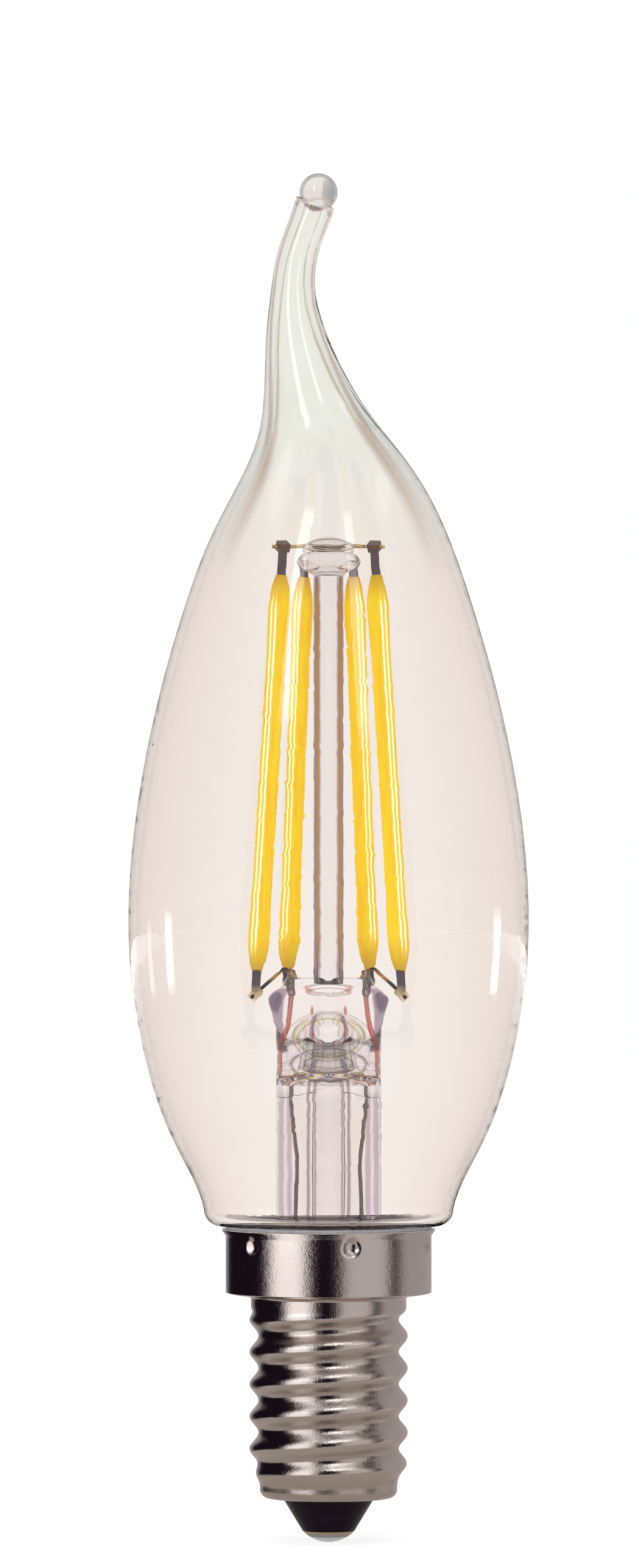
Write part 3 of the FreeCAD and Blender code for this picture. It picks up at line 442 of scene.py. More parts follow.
@dataclass(frozen=True)
class Glass(Finish):
    """Clear glass: a pale body colour that turns into painted edge shade and painted edge lines where the
    surface turns away from the eye, changes higher up, carries painted refraction marks, and has colour in
    its depth.
    """

    name: str
    # Ramps over how far the surface turns away: the glass's body colour straight on, painted edge shade and
    # painted edge lines towards its edge.
    low_turn: tuple[Stop, ...]
    high_turn: tuple[Stop, ...]
    change_from: float
    change_to: float
    depth_colour: Colour
    depth_density: float
    waviness: float = 0.0
    wave_depth: float = 0.5
    waves: Cloud = Cloud(0.16, 2.0, 0.5, (1.0, 1.0, 0.45))
    ior: float = 1.5
    lamp_share: Colour = (0.93, 0.93, 0.93)
    # Painted refraction: painted shade, painted coloured lines and painted highlights on the glass.
    marks: tuple[Mark, ...] = ()
    # Painted shade of the bowed dark rims at both sides of the pinch, with its size and place.
    ear_colour: Colour | None = None
    ear_width: float = 4.0
    ear_height: float = 45.8
    ear_bow: float = 0.06
    ear_half_height: float = 2.9
    ear_soft: float = 0.08
    ear_fade: float = 0.3

    def material(self) -> bpy.types.Material:
        """Build the material, which lets the lamps' light through to the pieces inside.

        Returns:
            The glass material.
        """
        graph = NodeGraph(self.name)
        height = graph.share(graph.axis("Z"), self.change_from, self.change_to)
        # Painted shade: the colour darkens, with painted pale and dark lines, where the surface turns away
        # from the eye.
        turned = graph.facing()
        glass_and_painted_light = graph.mix(height, graph.ramp(turned, self.low_turn), graph.ramp(turned, self.high_turn))
        # Painted refraction marks laid over it.
        for mark in self.marks:
            glass_and_painted_light = graph.mix(mark.cover(graph), glass_and_painted_light, mark.colour)
        # Painted shade at both sides of the pinch.
        if self.ear_colour is not None:
            glass_and_painted_light = graph.mix(self.ears(graph), glass_and_painted_light, self.ear_colour)
        surface = graph.add("ShaderNodeBsdfPrincipled", {
            "Base Color": glass_and_painted_light,
            "Roughness": 0.0,
            "IOR": self.ior,
            "Transmission Weight": 1.0,
            "Normal": graph.bump(graph.noise(self.waves), self.waviness, self.wave_depth),
        }).outputs["BSDF"]
        open_way = graph.add("ShaderNodeBsdfTransparent", {"Color": self.lamp_share}).outputs["BSDF"]
        lamp_ray = graph.add("ShaderNodeLightPath").outputs["Is Shadow Ray"]
        values = {"Color": self.depth_colour, "Density": self.depth_density}
        depth = graph.add("ShaderNodeVolumeAbsorption", values).outputs["Volume"]
        graph.feed(graph.output.inputs["Volume"], depth)
        return graph.show(graph.either(lamp_ray, surface, open_way))

    def ears(self, graph: NodeGraph) -> Socket:
        """Where the painted shade of the bowed dark rims lies, at both sides of the pinch.

        Args:
            graph: Graph to add to.

        Returns:
            Value socket from 0 to 1.
        """
        out = graph.maths("ABSOLUTE", graph.axis("X"))
        away = graph.maths("ABSOLUTE", graph.maths("SUBTRACT", graph.axis("Z"), self.ear_height))
        bowed = graph.maths("MULTIPLY_ADD", graph.maths("POWER", away, 2.0), self.ear_bow, out)
        side = graph.share(bowed, self.ear_width - self.ear_soft, self.ear_width + self.ear_soft)
        level = graph.share(away, self.ear_half_height, self.ear_half_height - self.ear_fade)
        return graph.maths("MULTIPLY", side, level)


@dataclass(frozen=True)
class Nickel(Finish):
    """Bright nickel plate on pressed sheet, dulled in the thread and finely dented all over."""

    name: str = "cap_nickel"
    bright: Colour = (0.62, 0.56, 0.525)
    dull: Colour = (0.36, 0.31, 0.27)
    root_radius: float = 6.1
    crest_radius: float = 6.95
    stain: Cloud = Cloud(0.9, 5.0, 0.6)
    specks: Cloud = Cloud(7.0, 3.0, 0.7)
    dents: Cloud = Cloud(2.1, 2.0, 0.5)

    def inputs(self, graph: NodeGraph) -> dict[str, object]:
        """Inputs of the plated metal."""
        depth = graph.share(graph.radius(), self.root_radius, self.crest_radius)
        stain = graph.noise(self.stain)
        # Darker and duller towards the thread's roots, in cloudy patches.
        root_dulling = graph.ramp(depth, [(0.0, grey(0.55)), (0.6, grey(0.08)), (1.0, BLACK)])
        texture = graph.mix(0.55, graph.noise(self.dents), graph.noise(self.specks))
        return {
            "Base Color": graph.mix(graph.mix(1.0, root_dulling, stain, "MULTIPLY"), self.bright, self.dull),
            "Metallic": 1.0,
            "Roughness": graph.levels(stain, 0.05, 0.15),
            "Normal": graph.bump(texture, 0.55, 0.06),
        }


@dataclass(frozen=True)
class BlackGlass(Finish):
    """Near-black pressed glass with a wet gloss and faint flow lines."""

    name: str = "insulator_glass"
    deep: Colour = (0.006, 0.002, 0.007)
    flow: Colour = (0.011, 0.005, 0.012)
    swirl: Cloud = Cloud(0.8, 4.0, 0.55, (1.0, 1.0, 2.2))
    pits: Cloud = Cloud(3.0, 3.0, 0.6)

    def inputs(self, graph: NodeGraph) -> dict[str, object]:
        """Inputs of the dark glass."""
        pits = graph.noise(self.pits)
        return {
            "Base Color": graph.ramp(graph.noise(self.swirl), [(0.42, self.deep), (0.68, self.flow)]),
            "Roughness": graph.levels(pits, 0.12, 0.34),
            "Specular IOR Level": 0.1,
            "Normal": graph.bump(pits, 0.25, 0.06),
        }


@dataclass(frozen=True)
class Contact(Finish):
    """Tinned rivet head: soft silver grey, rubbed at its crown, with a warm rim."""

    name: str = "contact_metal"
    crown: Colour = (0.62, 0.62, 0.63)
    body: Colour = (0.46, 0.46, 0.47)
    rim: Colour = (0.66, 0.50, 0.26)
    cloudy: Colour = (0.22, 0.21, 0.22)
    rim_radius: float = 2.28
    clouds: Cloud = Cloud(2.4, 4.0, 0.6)
    scratches: Cloud = Cloud(3.0, 3.0, 0.6, (7.0, 1.0, 1.0))

    def inputs(self, graph: NodeGraph) -> dict[str, object]:
        """Inputs of the contact metal."""
        place = graph.share(graph.radius(), 0.0, self.rim_radius)
        base = graph.ramp(place, [(0.0, self.crown), (0.45, self.body), (0.9, self.body), (0.97, self.rim)])
        dull = graph.noise(self.clouds)
        return {
            "Base Color": graph.mix(graph.levels(dull, 0.0, 0.25), base, self.cloudy),
            "Metallic": 0.85,
            "Roughness": graph.levels(dull, 0.24, 0.42),
            "Normal": graph.bump(graph.noise(self.scratches), 0.2, 0.03),
        }


@dataclass(frozen=True)
class Cement(Finish):
    """Matt grey capping cement with fine grit."""

    name: str = "cap_cement"
    pale: Colour = (0.55, 0.58, 0.62)
    dark: Colour = (0.34, 0.35, 0.39)
    grit: Cloud = Cloud(5.0, 6.0, 0.7)

    def inputs(self, graph: NodeGraph) -> dict[str, object]:
        """Inputs of the cement."""
        grit = graph.noise(self.grit)
        return {
            "Base Color": graph.ramp(grit, [(0.35, self.dark), (0.62, self.pale)]),
            "Roughness": 0.85,
            "Normal": graph.bump(grit, 0.6, 0.12),
        }


@dataclass(frozen=True)
class Phosphor(Finish):
    """Yellow silicone coat: glossy, a little orange in fine lines along it, with painted shade over the
    strip's ends and a painted glow.
    """

    name: str = "phosphor_coat"
    bright: Colour = (1.0, 0.72, 0.0)
    deep: Colour = (1.0, 0.60, 0.0)
    # Colour of the painted shade over the strip's ends.
    ends: Colour = (0.42, 0.19, 0.015)
    # Strength of a painted glow.
    glow: float = 0.2
    foot: float = 50.0
    head: float = 84.6
    # Where the painted shade lies along the coat, strongest at both ends.
    brown: tuple[Stop, ...] = (
        (0.0, grey(0.85)),
        (0.035, grey(0.4)),
        (0.085, BLACK),
        (0.93, BLACK),
        (0.965, grey(0.4)),
        (1.0, grey(0.85)),
    )
    streaks: Cloud = Cloud(1.6, 4.0, 0.6, (1.6, 1.6, 0.08))
    gloss: Cloud = Cloud(2.0)
    ripples: Cloud = Cloud(1.4, 3.0, 0.5, (1.0, 1.0, 0.15))

    def inputs(self, graph: NodeGraph) -> dict[str, object]:
        """Inputs of the coat."""
        streak = graph.noise(self.streaks)
        colour = graph.ramp(streak, [(0.38, self.deep), (0.52, self.bright), (1.0, self.bright)])
        # Painted shade over both ends.
        brown = graph.ramp(graph.share(graph.axis("Z"), self.foot, self.head), self.brown)
        return {
            "Base Color": graph.mix(brown, colour, self.ends),
            "Roughness": graph.levels(graph.noise(self.gloss), 0.3, 0.45),
            "Specular IOR Level": 0.0,
            # Painted glow in the coat's own colour.
            "Emission Color": colour,
            "Emission Strength": self.glow,
            "Coat Weight": 0.3,
            "Coat Roughness": 0.24,
            "Normal": graph.bump(graph.noise(self.ripples), 0.2, 0.06),
        }


@dataclass(frozen=True)
class Metal(Finish):
    """Bare or oxidised metal whose colour changes along the height of the bulb and in patches, with a painted
    glow where one is given.
    """

    name: str
    stops: tuple[Stop, ...]
    foot: float
    head: float
    patch: Colour
    patch_share: float = 0.4
    patches: Cloud = Cloud(1.6, 4.0, 0.6)
    drawn: Cloud = Cloud(4.0, 2.0, 0.5, (3.0, 3.0, 0.3))
    smooth: float = 0.22
    rough: float = 0.45
    metallic: float = 1.0
    shine: float = 0.5
    # Strength of a painted glow in the metal's own colour.
    glow: float = 0.0

    def inputs(self, graph: NodeGraph) -> dict[str, object]:
        """Inputs of the metal."""
        base = graph.ramp(graph.share(graph.axis("Z"), self.foot, self.head), self.stops)
        cloud = graph.noise(self.patches)
        cover = graph.ramp(cloud, [(0.45, BLACK), (0.65, grey(self.patch_share))])
        return {
            "Base Color": graph.mix(cover, base, self.patch),
            # Painted glow.
            "Emission Color": base,
            "Emission Strength": self.glow,
            "Metallic": self.metallic,
            "Specular IOR Level": self.shine,
            "Roughness": graph.levels(cloud, self.smooth, self.rough),
            "Normal": graph.bump(graph.noise(self.drawn), 0.2, 0.02),
        }


@dataclass(frozen=True)
class Moulded(Finish):
    """Dull moulded, painted or fired stuff of the driver and the strips."""

    name: str
    base: Colour
    shade: Colour
    scale: float = 3.0
    smooth: float = 0.35
    rough: float = 0.6
    metallic: float = 0.0

    def inputs(self, graph: NodeGraph) -> dict[str, object]:
        """Inputs of the dull surface."""
        grain = graph.noise(Cloud(self.scale, 5.0, 0.65))
        return {
            "Base Color": graph.ramp(grain, [(0.3, self.shade), (0.65, self.base)]),
            "Metallic": self.metallic,
            "Roughness": graph.levels(grain, self.smooth, self.rough),
            "Normal": graph.bump(grain, 0.3, 0.04),
        }


# Painted refraction on the press: painted dark rims, coloured lines and spots, and one painted white
# highlight.
PAINTED_PRESS_REFRACTION = (
    Mark(0.0, 48.2, 1.95, 0.36, 0.84, 1.0, (0.30, 0.20, 0.20), 0.85),
    Mark(1.82, 48.2, 0.12, 0.26, 0.0, 0.7, (0.80, 0.16, 0.08), 0.8, both=True, soft=0.4),
    Mark(1.45, 46.5, 0.16, 0.45, 0.0, 0.6, (0.50, 0.06, 0.06), 0.8, both=True, soft=0.5),
    Mark(1.45, 44.7, 0.34, 0.75, 0.0, 0.7, (0.30, 0.25, 0.32), 0.7, both=True, soft=0.4),
    # A painted white highlight on both sides.
    Mark(1.50, 44.65, 0.09, 0.42, 0.0, 0.8, (1.0, 1.0, 1.0), 1.0, both=True, soft=0.2),
    Mark(2.02, 44.5, 0.08, 0.60, 0.0, 0.7, (0.80, 0.20, 0.12), 0.8, both=True, soft=0.4),
    Mark(0.0, 44.2, 2.75, 1.75, 0.93, 1.0, (0.45, 0.45, 0.14), 0.9, soft=0.04),
    Mark(0.0, 44.3, 3.15, 2.1, 0.97, 1.0, (0.40, 0.32, 0.36), 0.8, soft=0.03),
    Mark(0.0, 42.0, 2.15, 0.75, 0.90, 1.0, (0.30, 0.30, 0.18), 0.85, soft=0.06),
    Mark(0.0, 41.9, 3.3, 1.45, 0.95, 1.0, (0.20, 0.14, 0.18), 0.85, soft=0.04),
)
CLEAR_GLASS = Glass(
    "clear_glass",
    # Painted edge shade of the body, and higher up painted dark and pale edge lines round the neck.
    low_turn=(
        (0.0, (1.0, 0.98, 0.963)),
        (0.32, (0.982, 0.942, 0.908)),
        (0.75, (0.95, 0.885, 0.85)),
        (0.88, (0.84, 0.74, 0.70)),
        (1.0, (0.52, 0.36, 0.28)),
    ),
    high_turn=(
        (0.0, (0.97, 0.995, 0.955)),
        (0.38, (0.95, 0.975, 0.94)),
        (0.45, (0.50, 0.38, 0.30)),
        (0.52, (0.45, 0.33, 0.26)),
        (0.59, (0.80, 0.88, 0.85)),
        (0.86, (0.60, 0.72, 0.70)),
        (1.0, (0.36, 0.44, 0.44)),
    ),
    change_from=84.0,
    change_to=98.0,
    depth_colour=(0.62, 0.45, 0.38),
    depth_density=140.0,
    waviness=0.02,
    # Painted refraction on the bent tip: a painted dark ring, a painted dark patch and a painted warm ring.
    marks=(
        Mark(-0.88, 118.15, 1.66, 1.66, 0.84, 1.02, (0.34, 0.42, 0.46), 0.75, soft=0.06),
        Mark(-0.05, 118.0, 0.55, 1.25, 0.0, 0.8, (0.22, 0.28, 0.33), 0.8, soft=0.4),
        Mark(-0.88, 117.0, 0.98, 0.50, 0.80, 1.0, (0.66, 0.48, 0.42), 0.8, soft=0.15),
    ),
)
# Body colour straight on, then painted edge shade with a painted pale line, towards the edges of the tube and
# press.
TUBE_BODY_AND_EDGE_SHADE = (
    (0.0, (0.98, 0.97, 0.97)),
    (0.44, (0.94, 0.92, 0.94)),
    (0.51, (0.38, 0.28, 0.38)),
    (0.68, (0.32, 0.23, 0.34)),
    (0.75, (0.78, 0.72, 0.78)),
    (1.0, (0.45, 0.36, 0.42)),
)
TUBE_GLASS = Glass(
    "tube_glass",
    low_turn=TUBE_BODY_AND_EDGE_SHADE,
    high_turn=((0.0, (1.0, 0.995, 0.995)), (0.5, (0.97, 0.955, 0.96)), (0.9, (0.72, 0.66, 0.72))),
    change_from=39.0,
    change_to=40.5,
    depth_colour=(0.55, 0.40, 0.50),
    depth_density=30.0,
    waviness=0.03,
    marks=PAINTED_PRESS_REFRACTION,
    # Painted shade of the dark rims at both sides of the pinch.
    ear_colour=(0.21, 0.14, 0.23),
)
# Body colour straight on, then painted edge shade with a painted pale line, towards the edges of the exhaust
# tube.
THIN_TUBE_BODY_AND_EDGE_SHADE = (
    (0.0, (0.98, 0.97, 0.97)),
    (0.4, (0.94, 0.92, 0.93)),
    (0.46, (0.22, 0.13, 0.20)),
    (0.66, (0.22, 0.13, 0.20)),
    (0.74, (0.70, 0.60, 0.66)),
    (1.0, (0.25, 0.16, 0.22)),
)
THIN_TUBE_GLASS = replace(
    TUBE_GLASS,
    name="thin_tube_glass",
    low_turn=THIN_TUBE_BODY_AND_EDGE_SHADE,
    high_turn=THIN_TUBE_BODY_AND_EDGE_SHADE,
    marks=(),
    ear_colour=None,
)
# Body colour straight on, then painted edge shade, towards the edges of the rod.
ROD_BODY_AND_EDGE_SHADE = (
    (0.0, (0.98, 0.97, 0.96)),
    (0.13, (0.97, 0.95, 0.94)),
    (0.2, (0.25, 0.16, 0.27)),
    (1.0, (0.16, 0.10, 0.17)),
)
ROD_GLASS = replace(
    THIN_TUBE_GLASS,
    name="rod_glass",
    low_turn=ROD_BODY_AND_EDGE_SHADE,
    # Painted edge shade of the rod's button.
    high_turn=(
        (0.0, (0.99, 0.985, 0.98)),
        (0.35, (0.95, 0.93, 0.92)),
        (0.7, (0.55, 0.44, 0.46)),
        (1.0, (0.35, 0.26, 0.28)),
    ),
    change_from=84.2,
    change_to=84.9,
)
DARK_TAB = (
    (0.0, (0.80, 0.68, 0.48)),
    (0.012, (0.72, 0.58, 0.38)),
    (0.03, (0.10, 0.075, 0.10)),
    (0.935, (0.12, 0.09, 0.12)),
    (0.975, (0.16, 0.10, 0.09)),
)
TAB_METAL = Metal("tab_metal", DARK_TAB, 47.6, 88.0, (0.05, 0.035, 0.05), rough=0.4)
HANGER_METAL = Metal(
    "hanger_wire", ((0.0, (0.62, 0.42, 0.14)), (1.0, (0.70, 0.52, 0.22))), 84.0, 89.0, (0.10, 0.06, 0.03), 0.7
)
ARM_METAL = Metal(
    "arm_wire",
    (
        (0.0, (0.03, 0.022, 0.022)),
        (0.5, (0.04, 0.025, 0.02)),
        (0.62, (0.66, 0.36, 0.08)),
        (0.8, (0.02, 0.015, 0.015)),
    ),
    47.0,
    51.0,
    (0.02, 0.014, 0.016),
    0.5,
    metallic=0.2,
    shine=0.15,
)
SEAL_METAL = Metal(
    "seal_wire",
    (
        (0.0, (0.55, 0.08, 0.01)),
        (0.3, (0.90, 0.14, 0.01)),
        (0.7, (0.90, 0.13, 0.005)),
        (0.88, (0.70, 0.10, 0.01)),
        (0.97, (0.02, 0.017, 0.02)),
    ),
    40.9,
    48.4,
    (0.45, 0.05, 0.01),
    0.4,
    smooth=0.3,
    rough=0.5,
    metallic=0.0,
    shine=0.06,
    # A painted glow that deepens the seal wires' red.
    glow=0.16,
)
LEAD_TURN = ((0.0, (0.09, 0.045, 0.03)), (1.0, (0.10, 0.05, 0.035)))
LEAD_METAL = Metal("lead_wire", LEAD_TURN, 18.0, 41.0, (0.02, 0.012, 0.01), 0.6)
TINNED_METAL = Metal(
    "tinned_wire", ((0.0, (0.62, 0.62, 0.62)), (1.0, (0.66, 0.66, 0.66))), 5.0, 21.0, (0.40, 0.40, 0.41), 0.4
)
STRIP = Moulded("carrier_strip", (0.62, 0.58, 0.48), (0.46, 0.42, 0.34), scale=2.0, smooth=0.3, rough=0.5)
BOARD = Moulded("board_laminate", (0.05, 0.20, 0.09), (0.03, 0.12, 0.05), scale=2.4, smooth=0.3, rough=0.5)
PACKAGE = Moulded("package_black", (0.035, 0.035, 0.038), (0.02, 0.02, 0.022), scale=6.0)
CAN = Moulded(
    "capacitor_can", (0.62, 0.63, 0.65), (0.50, 0.51, 0.53), scale=1.2, smooth=0.2, rough=0.35, metallic=1.0
)
RESISTOR = Moulded("resistor_body", (0.16, 0.33, 0.28), (0.10, 0.24, 0.20), scale=4.0)


Wearers = tuple[Finish, list[str]]


@dataclass
class Dresser:
    """Gives each carried node its finish."""

    nodes: dict[str, bpy.types.Object]
    made: dict[str, bpy.types.Material] = field(default_factory=dict)

    def dress(self, finish: Finish, names: Iterable[str]) -> None:
        """Put one finish on several nodes.

        Args:
            finish: The finish.
            names: Names of the nodes.
        """
        material = self.made.get(finish.name) or finish.material()
        self.made[finish.name] = material
        for name in names:
            slots = self.nodes[name].data.materials
            slots.clear()
            slots.append(material)
            LOG.info("%s has the finish %s", name, finish.name)


def all_filaments(stem: str) -> list[str]:
    """Names of the four nodes of one kind.

    Args:
        stem: Start of the name.

    Returns:
        The names.
    """
    return [f"{stem}_{rank.value}_{side.word}" for rank in Rank for side in Side]


def both_sides(stem: str) -> list[str]:
    """Names of the left and the right node of one kind.

    Args:
        stem: Start of the name.

    Returns:
        The names.
    """
    return [f"{stem}_{side.word}" for side in Side]


class Assembly:
    """A sub-assembly of the bulb: its nodes with their finishes."""

    label = "sub-assembly"

    def finishes(self) -> list[Wearers]:
        """Finishes with the names of the nodes that wear them."""
        return []

    def dress(self, dresser: Dresser) -> None:
        """Dress the nodes and report the sub-assembly.

        Args:
            dresser: Gives each node its finish.
        """
        for finish, names in self.finishes():
            dresser.dress(finish, names)
        LOG.info("%s is dressed", self.label)


@dataclass
class BlownGlass(Assembly):
    """The outer glass."""

    label: str = "blown glass"
    glass: Glass = CLEAR_GLASS

    def finishes(self) -> list[Wearers]:
        """The outer glass is one clear piece."""
        return [(self.glass, ["glass_envelope"])]


@dataclass
class GlassStem(Assembly):
    """The inner glass: flared tube with its press, exhaust tube and support rod."""

    label: str = "glass stem"
    tube: Glass = TUBE_GLASS
    thin_tube: Glass = THIN_TUBE_GLASS
    rod: Glass = ROD_GLASS

    def finishes(self) -> list[Wearers]:
        """Each kind of inner glass has its own edges."""
        return [(self.tube, ["stem_tube"]), (self.thin_tube, ["exhaust_tube"]), (self.rod, ["support_rod"])]


@dataclass
class LightSource(Assembly):
    """The four filaments with their strips and tabs."""

    label: str = "light source"
    coat: Phosphor = field(default_factory=Phosphor)
    strip: Moulded = STRIP
    tab: Metal = TAB_METAL

    def finishes(self) -> list[Wearers]:
        """Coat, strip and the two tabs of each filament."""
        return [
            (self.coat, all_filaments("filament_coat")),
            (self.strip, all_filaments("filament_strip")),
            (self.tab, all_filaments("upper_tab") + all_filaments("lower_tab")),
        ]


@dataclass
class Wires(Assembly):
    """Wires that hold and feed the filaments."""

    label: str = "wires"
    hanger: Metal = HANGER_METAL
    arm: Metal = ARM_METAL
    seal: Metal = SEAL_METAL
    lead: Metal = LEAD_METAL
    tinned: Metal = TINNED_METAL

    def finishes(self) -> list[Wearers]:
        """Each kind of wire is oxidised in its own way."""
        return [
            (self.hanger, [f"hanger_wire_{rank.value}" for rank in Rank]),
            (self.arm, all_filaments("lead_arm")),
            (self.seal, both_sides("seal_wire")),
            (self.lead, both_sides("outer_lead")),
            (self.tinned, ["contact_wire", "shell_wire"]),
        ]


@dataclass
class Driver(Assembly):
    """The small board in the cap with its parts."""

    label: str = "driver"

    def finishes(self) -> list[Wearers]:
        """Board, packages, can and resistor."""
        return [
            (BOARD, ["driver_board"]),
            (PACKAGE, ["bridge_rectifier", "driver_chip"]),
            (CAN, ["capacitor"]),
            (RESISTOR, ["fusible_resistor"]),
        ]


@dataclass
class ScrewCap(Assembly):
    """The pressed cap, its insulator, contact and cement. Sizes in millimetres."""

    label: str = "screw cap"
    sheet: float = 0.3
    opening_radius: float = 4.0
    opening_height: float = 3.75
    curl_radius: float = 6.0
    curl_height: float = 3.95
    curl_round: float = 0.65
    skirt_bottom: float = 4.85
    crest_radius: float = 6.925
    root_radius: float = 6.14
    pitch: float = 2.822
    phase_height: float = 12.41
    start_share: float = 0.7
    end_share: float = 0.3
    neck_radius: float = 6.8
    neck_bottom: float = 20.6
    shoulder_foot: float = 21.53
    shoulder_edge: float = 21.77
    shoulder_round: float = 0.85
    collar_radius: float = 9.0
    lip_bottom: float = 26.85
    lip_radius: float = 9.3
    lip_edge: float = 27.25
    collar_top: float = 27.4
    punch_height: float = 26.1
    punch_radius: float = 1.0
    punch_depth: float = 0.4
    punch_count: int = 6
    punch_angle: float = 12.6
    rows_in_pitch: int = 16
    collar_rows: int = 30
    columns: int = 276
    corner_steps: int = 7
    nickel: Nickel = field(default_factory=Nickel)

    def finishes(self) -> list[Wearers]:
        """Cap, insulator, contact and cement."""
        return [
            (self.nickel, ["cap_shell"]),
            (BlackGlass(), ["cap_insulator"]),
            (Contact(), ["centre_contact"]),
            (Cement(), ["cap_cement"]),
        ]

    def skirt_radius(self, angle: float, height: float) -> float:
        """Radius of the rolled thread, a right-hand wave that dies out at both ends.

        Args:
            angle: Angle round the axis in radians.
            height: Height in millimetres.

        Returns:
            Radius in millimetres.
        """
        middle = (self.crest_radius + self.root_radius) / 2
        end = smooth((self.neck_bottom - height) / (self.end_share * self.pitch))
        rise = smooth((height - self.skirt_bottom) / self.pitch) * end
        start = smooth((height - self.skirt_bottom) / (self.start_share * self.pitch))
        mean = self.curl_radius + (middle - self.curl_radius) * start
        mean += (self.neck_radius - middle) * (1 - end)
        turn = math.tau * (height - self.phase_height) / self.pitch
        return mean + (self.crest_radius - self.root_radius) / 2 * rise * math.cos(turn - angle)

    def outline(self, shape: bmesh.types.BMesh) -> None:
        """Draw the sheet's outer line from the curl to the lip, with its round corners and rows.

        Args:
            shape: Mesh to draw in.
        """
        corners = (
            (self.opening_radius, self.opening_height, 0.0),
            (self.curl_radius, self.curl_height, self.curl_round),
            (self.curl_radius, self.skirt_bottom, 0.0),
            (self.neck_radius, self.neck_bottom, 0.0),
            (self.neck_radius, self.shoulder_foot, self.sheet),
            (self.collar_radius, self.shoulder_edge, self.shoulder_round),
            (self.collar_radius, self.lip_bottom, 0.0),
            (self.lip_radius, self.lip_edge, 0.0),
            (self.lip_radius, self.collar_top, 0.0),
        )
        spots = [shape.verts.new((radius * MM, 0.0, height * MM)) for radius, height, _ in corners]
        lines = [shape.edges.new(pair) for pair in zip(spots, spots[1:])]
        skirt_rows = round((self.neck_bottom - self.skirt_bottom) / self.pitch * self.rows_in_pitch)
        bmesh.ops.subdivide_edges(shape, edges=[lines[2]], cuts=skirt_rows)
        bmesh.ops.subdivide_edges(shape, edges=[lines[5]], cuts=self.collar_rows)
        for radius, height, bend in corners:
            if bend:
                place = Vector((radius * MM, 0.0, height * MM))
                corner = min(shape.verts, key=lambda spot: (spot.co - place).length)
                bmesh.ops.bevel(
                    shape, geom=[corner], offset=bend * MM, affect="VERTICES",
                    segments=self.corner_steps, profile=0.5, material=-1,
                )

    def shell(self) -> bpy.types.Object:
        """Spin the outline, roll the thread into it and press the punch marks.

        Returns:
            The sheet, which stands for the cap's shell.
        """
        shape = bmesh.new()
        self.outline(shape)
        bmesh.ops.spin(
            shape, geom=shape.verts[:] + shape.edges[:], cent=(0.0, 0.0, 0.0), axis=(0.0, 0.0, 1.0),
            angle=math.tau, steps=self.columns, use_merge=True,
        )
        for spot in shape.verts:
            height = spot.co.z / MM
            if self.skirt_bottom < height < self.neck_bottom:
                angle = math.atan2(spot.co.y, spot.co.x)
                spot.co.xy = spot.co.xy.normalized() * self.skirt_radius(angle, height) * MM
        self.punch(shape)
        bmesh.ops.recalc_face_normals(shape, faces=shape.faces[:])
        probe = max(shape.faces, key=lambda face: face.calc_center_median().x)
        if probe.normal.x < 0:
            bmesh.ops.reverse_faces(shape, faces=shape.faces[:])
        sheet = stand("cap_sheet", shape)
        faces = sheet.data.polygons
        faces.foreach_set("use_smooth", [True] * len(faces))
        wall = sheet.modifiers.new("wall", "SOLIDIFY")
        wall.thickness = self.sheet * MM
        wall.offset = -1.0
        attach(sheet, "root")
        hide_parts("cap_shell")
        LOG.info("cap_sheet has %d faces", len(faces))
        return sheet

    def punch(self, shape: bmesh.types.BMesh) -> None:
        """Press the row of punch marks into the collar.

        Args:
            shape: The spun sheet.
        """
        reach = (self.collar_radius + self.punch_radius - self.punch_depth) * MM
        for number in range(self.punch_count):
            turn = math.radians(self.punch_angle - 90.0 + 360.0 * number / self.punch_count)
            out = Vector((math.cos(turn), math.sin(turn), 0.0))
            middle = out * reach + Vector((0.0, 0.0, self.punch_height * MM))
            for spot in shape.verts:
                away = spot.co - middle
                level = away - out * away.dot(out)
                inside = (self.punch_radius * MM) ** 2 - level.length_squared
                if inside > 0 and away.length < self.punch_radius * MM:
                    spot.co = middle + level - out * math.sqrt(inside)

    def dress(self, dresser: Dresser) -> None:
        """Build the sheet and dress all the cap's pieces.

        Args:
            dresser: Gives each node its finish.
        """
        sheet = self.shell()
        dresser.nodes[sheet.name] = sheet
        super().dress(dresser)
        dresser.dress(self.nickel, [sheet.name])


def smooth(share: float) -> float:
    """Ease from 0 to 1.

    Args:
        share: Share of the way, held between 0 and 1.

    Returns:
        The eased share.
    """
    held = min(1.0, max(0.0, share))
    return held * held * (3 - 2 * held)


def stand(
    name: str, shape: bmesh.types.BMesh, material: bpy.types.Material | None = None
) -> bpy.types.Object:
    """Turn a drawn shape into an object of the scene.

    Args:
        name: Name of the object.
        shape: The drawn shape, which is freed.
        material: Its material, if it has one yet.

    Returns:
        The object.
    """
    mesh = bpy.data.meshes.new(name)
    shape.to_mesh(mesh)
    shape.free()
    if material is not None:
        mesh.materials.append(material)
    piece = bpy.data.objects.new(name, mesh)
    bpy.context.scene.collection.objects.link(piece)
    return piece


def direction(azimuth: float, elevation: float) -> Vector:
    """Unit vector from the bulb.

    Args:
        azimuth: Angle from the camera's side towards +X, in degrees.
        elevation: Angle above level, in degrees.

    Returns:
        The direction.
    """
    turn = math.radians(azimuth)
    rise = math.radians(elevation)
    return Vector((math.sin(turn) * math.cos(rise), -math.cos(turn) * math.cos(rise), math.sin(rise)))


def look_back(piece: bpy.types.Object, way: Vector, distance: float, aim: float) -> None:
    """Place a card or a lamp so that it looks at the bulb's axis.

    Args:
        piece: Card or lamp.
        way: Direction from the bulb.
        distance: Distance from the point that it looks at, in metres.
        aim: Height of that point, in metres.
    """
    piece.location = Vector((0.0, 0.0, aim)) + way * distance
    piece.rotation_euler = way.to_track_quat("Z", "Y").to_euler()


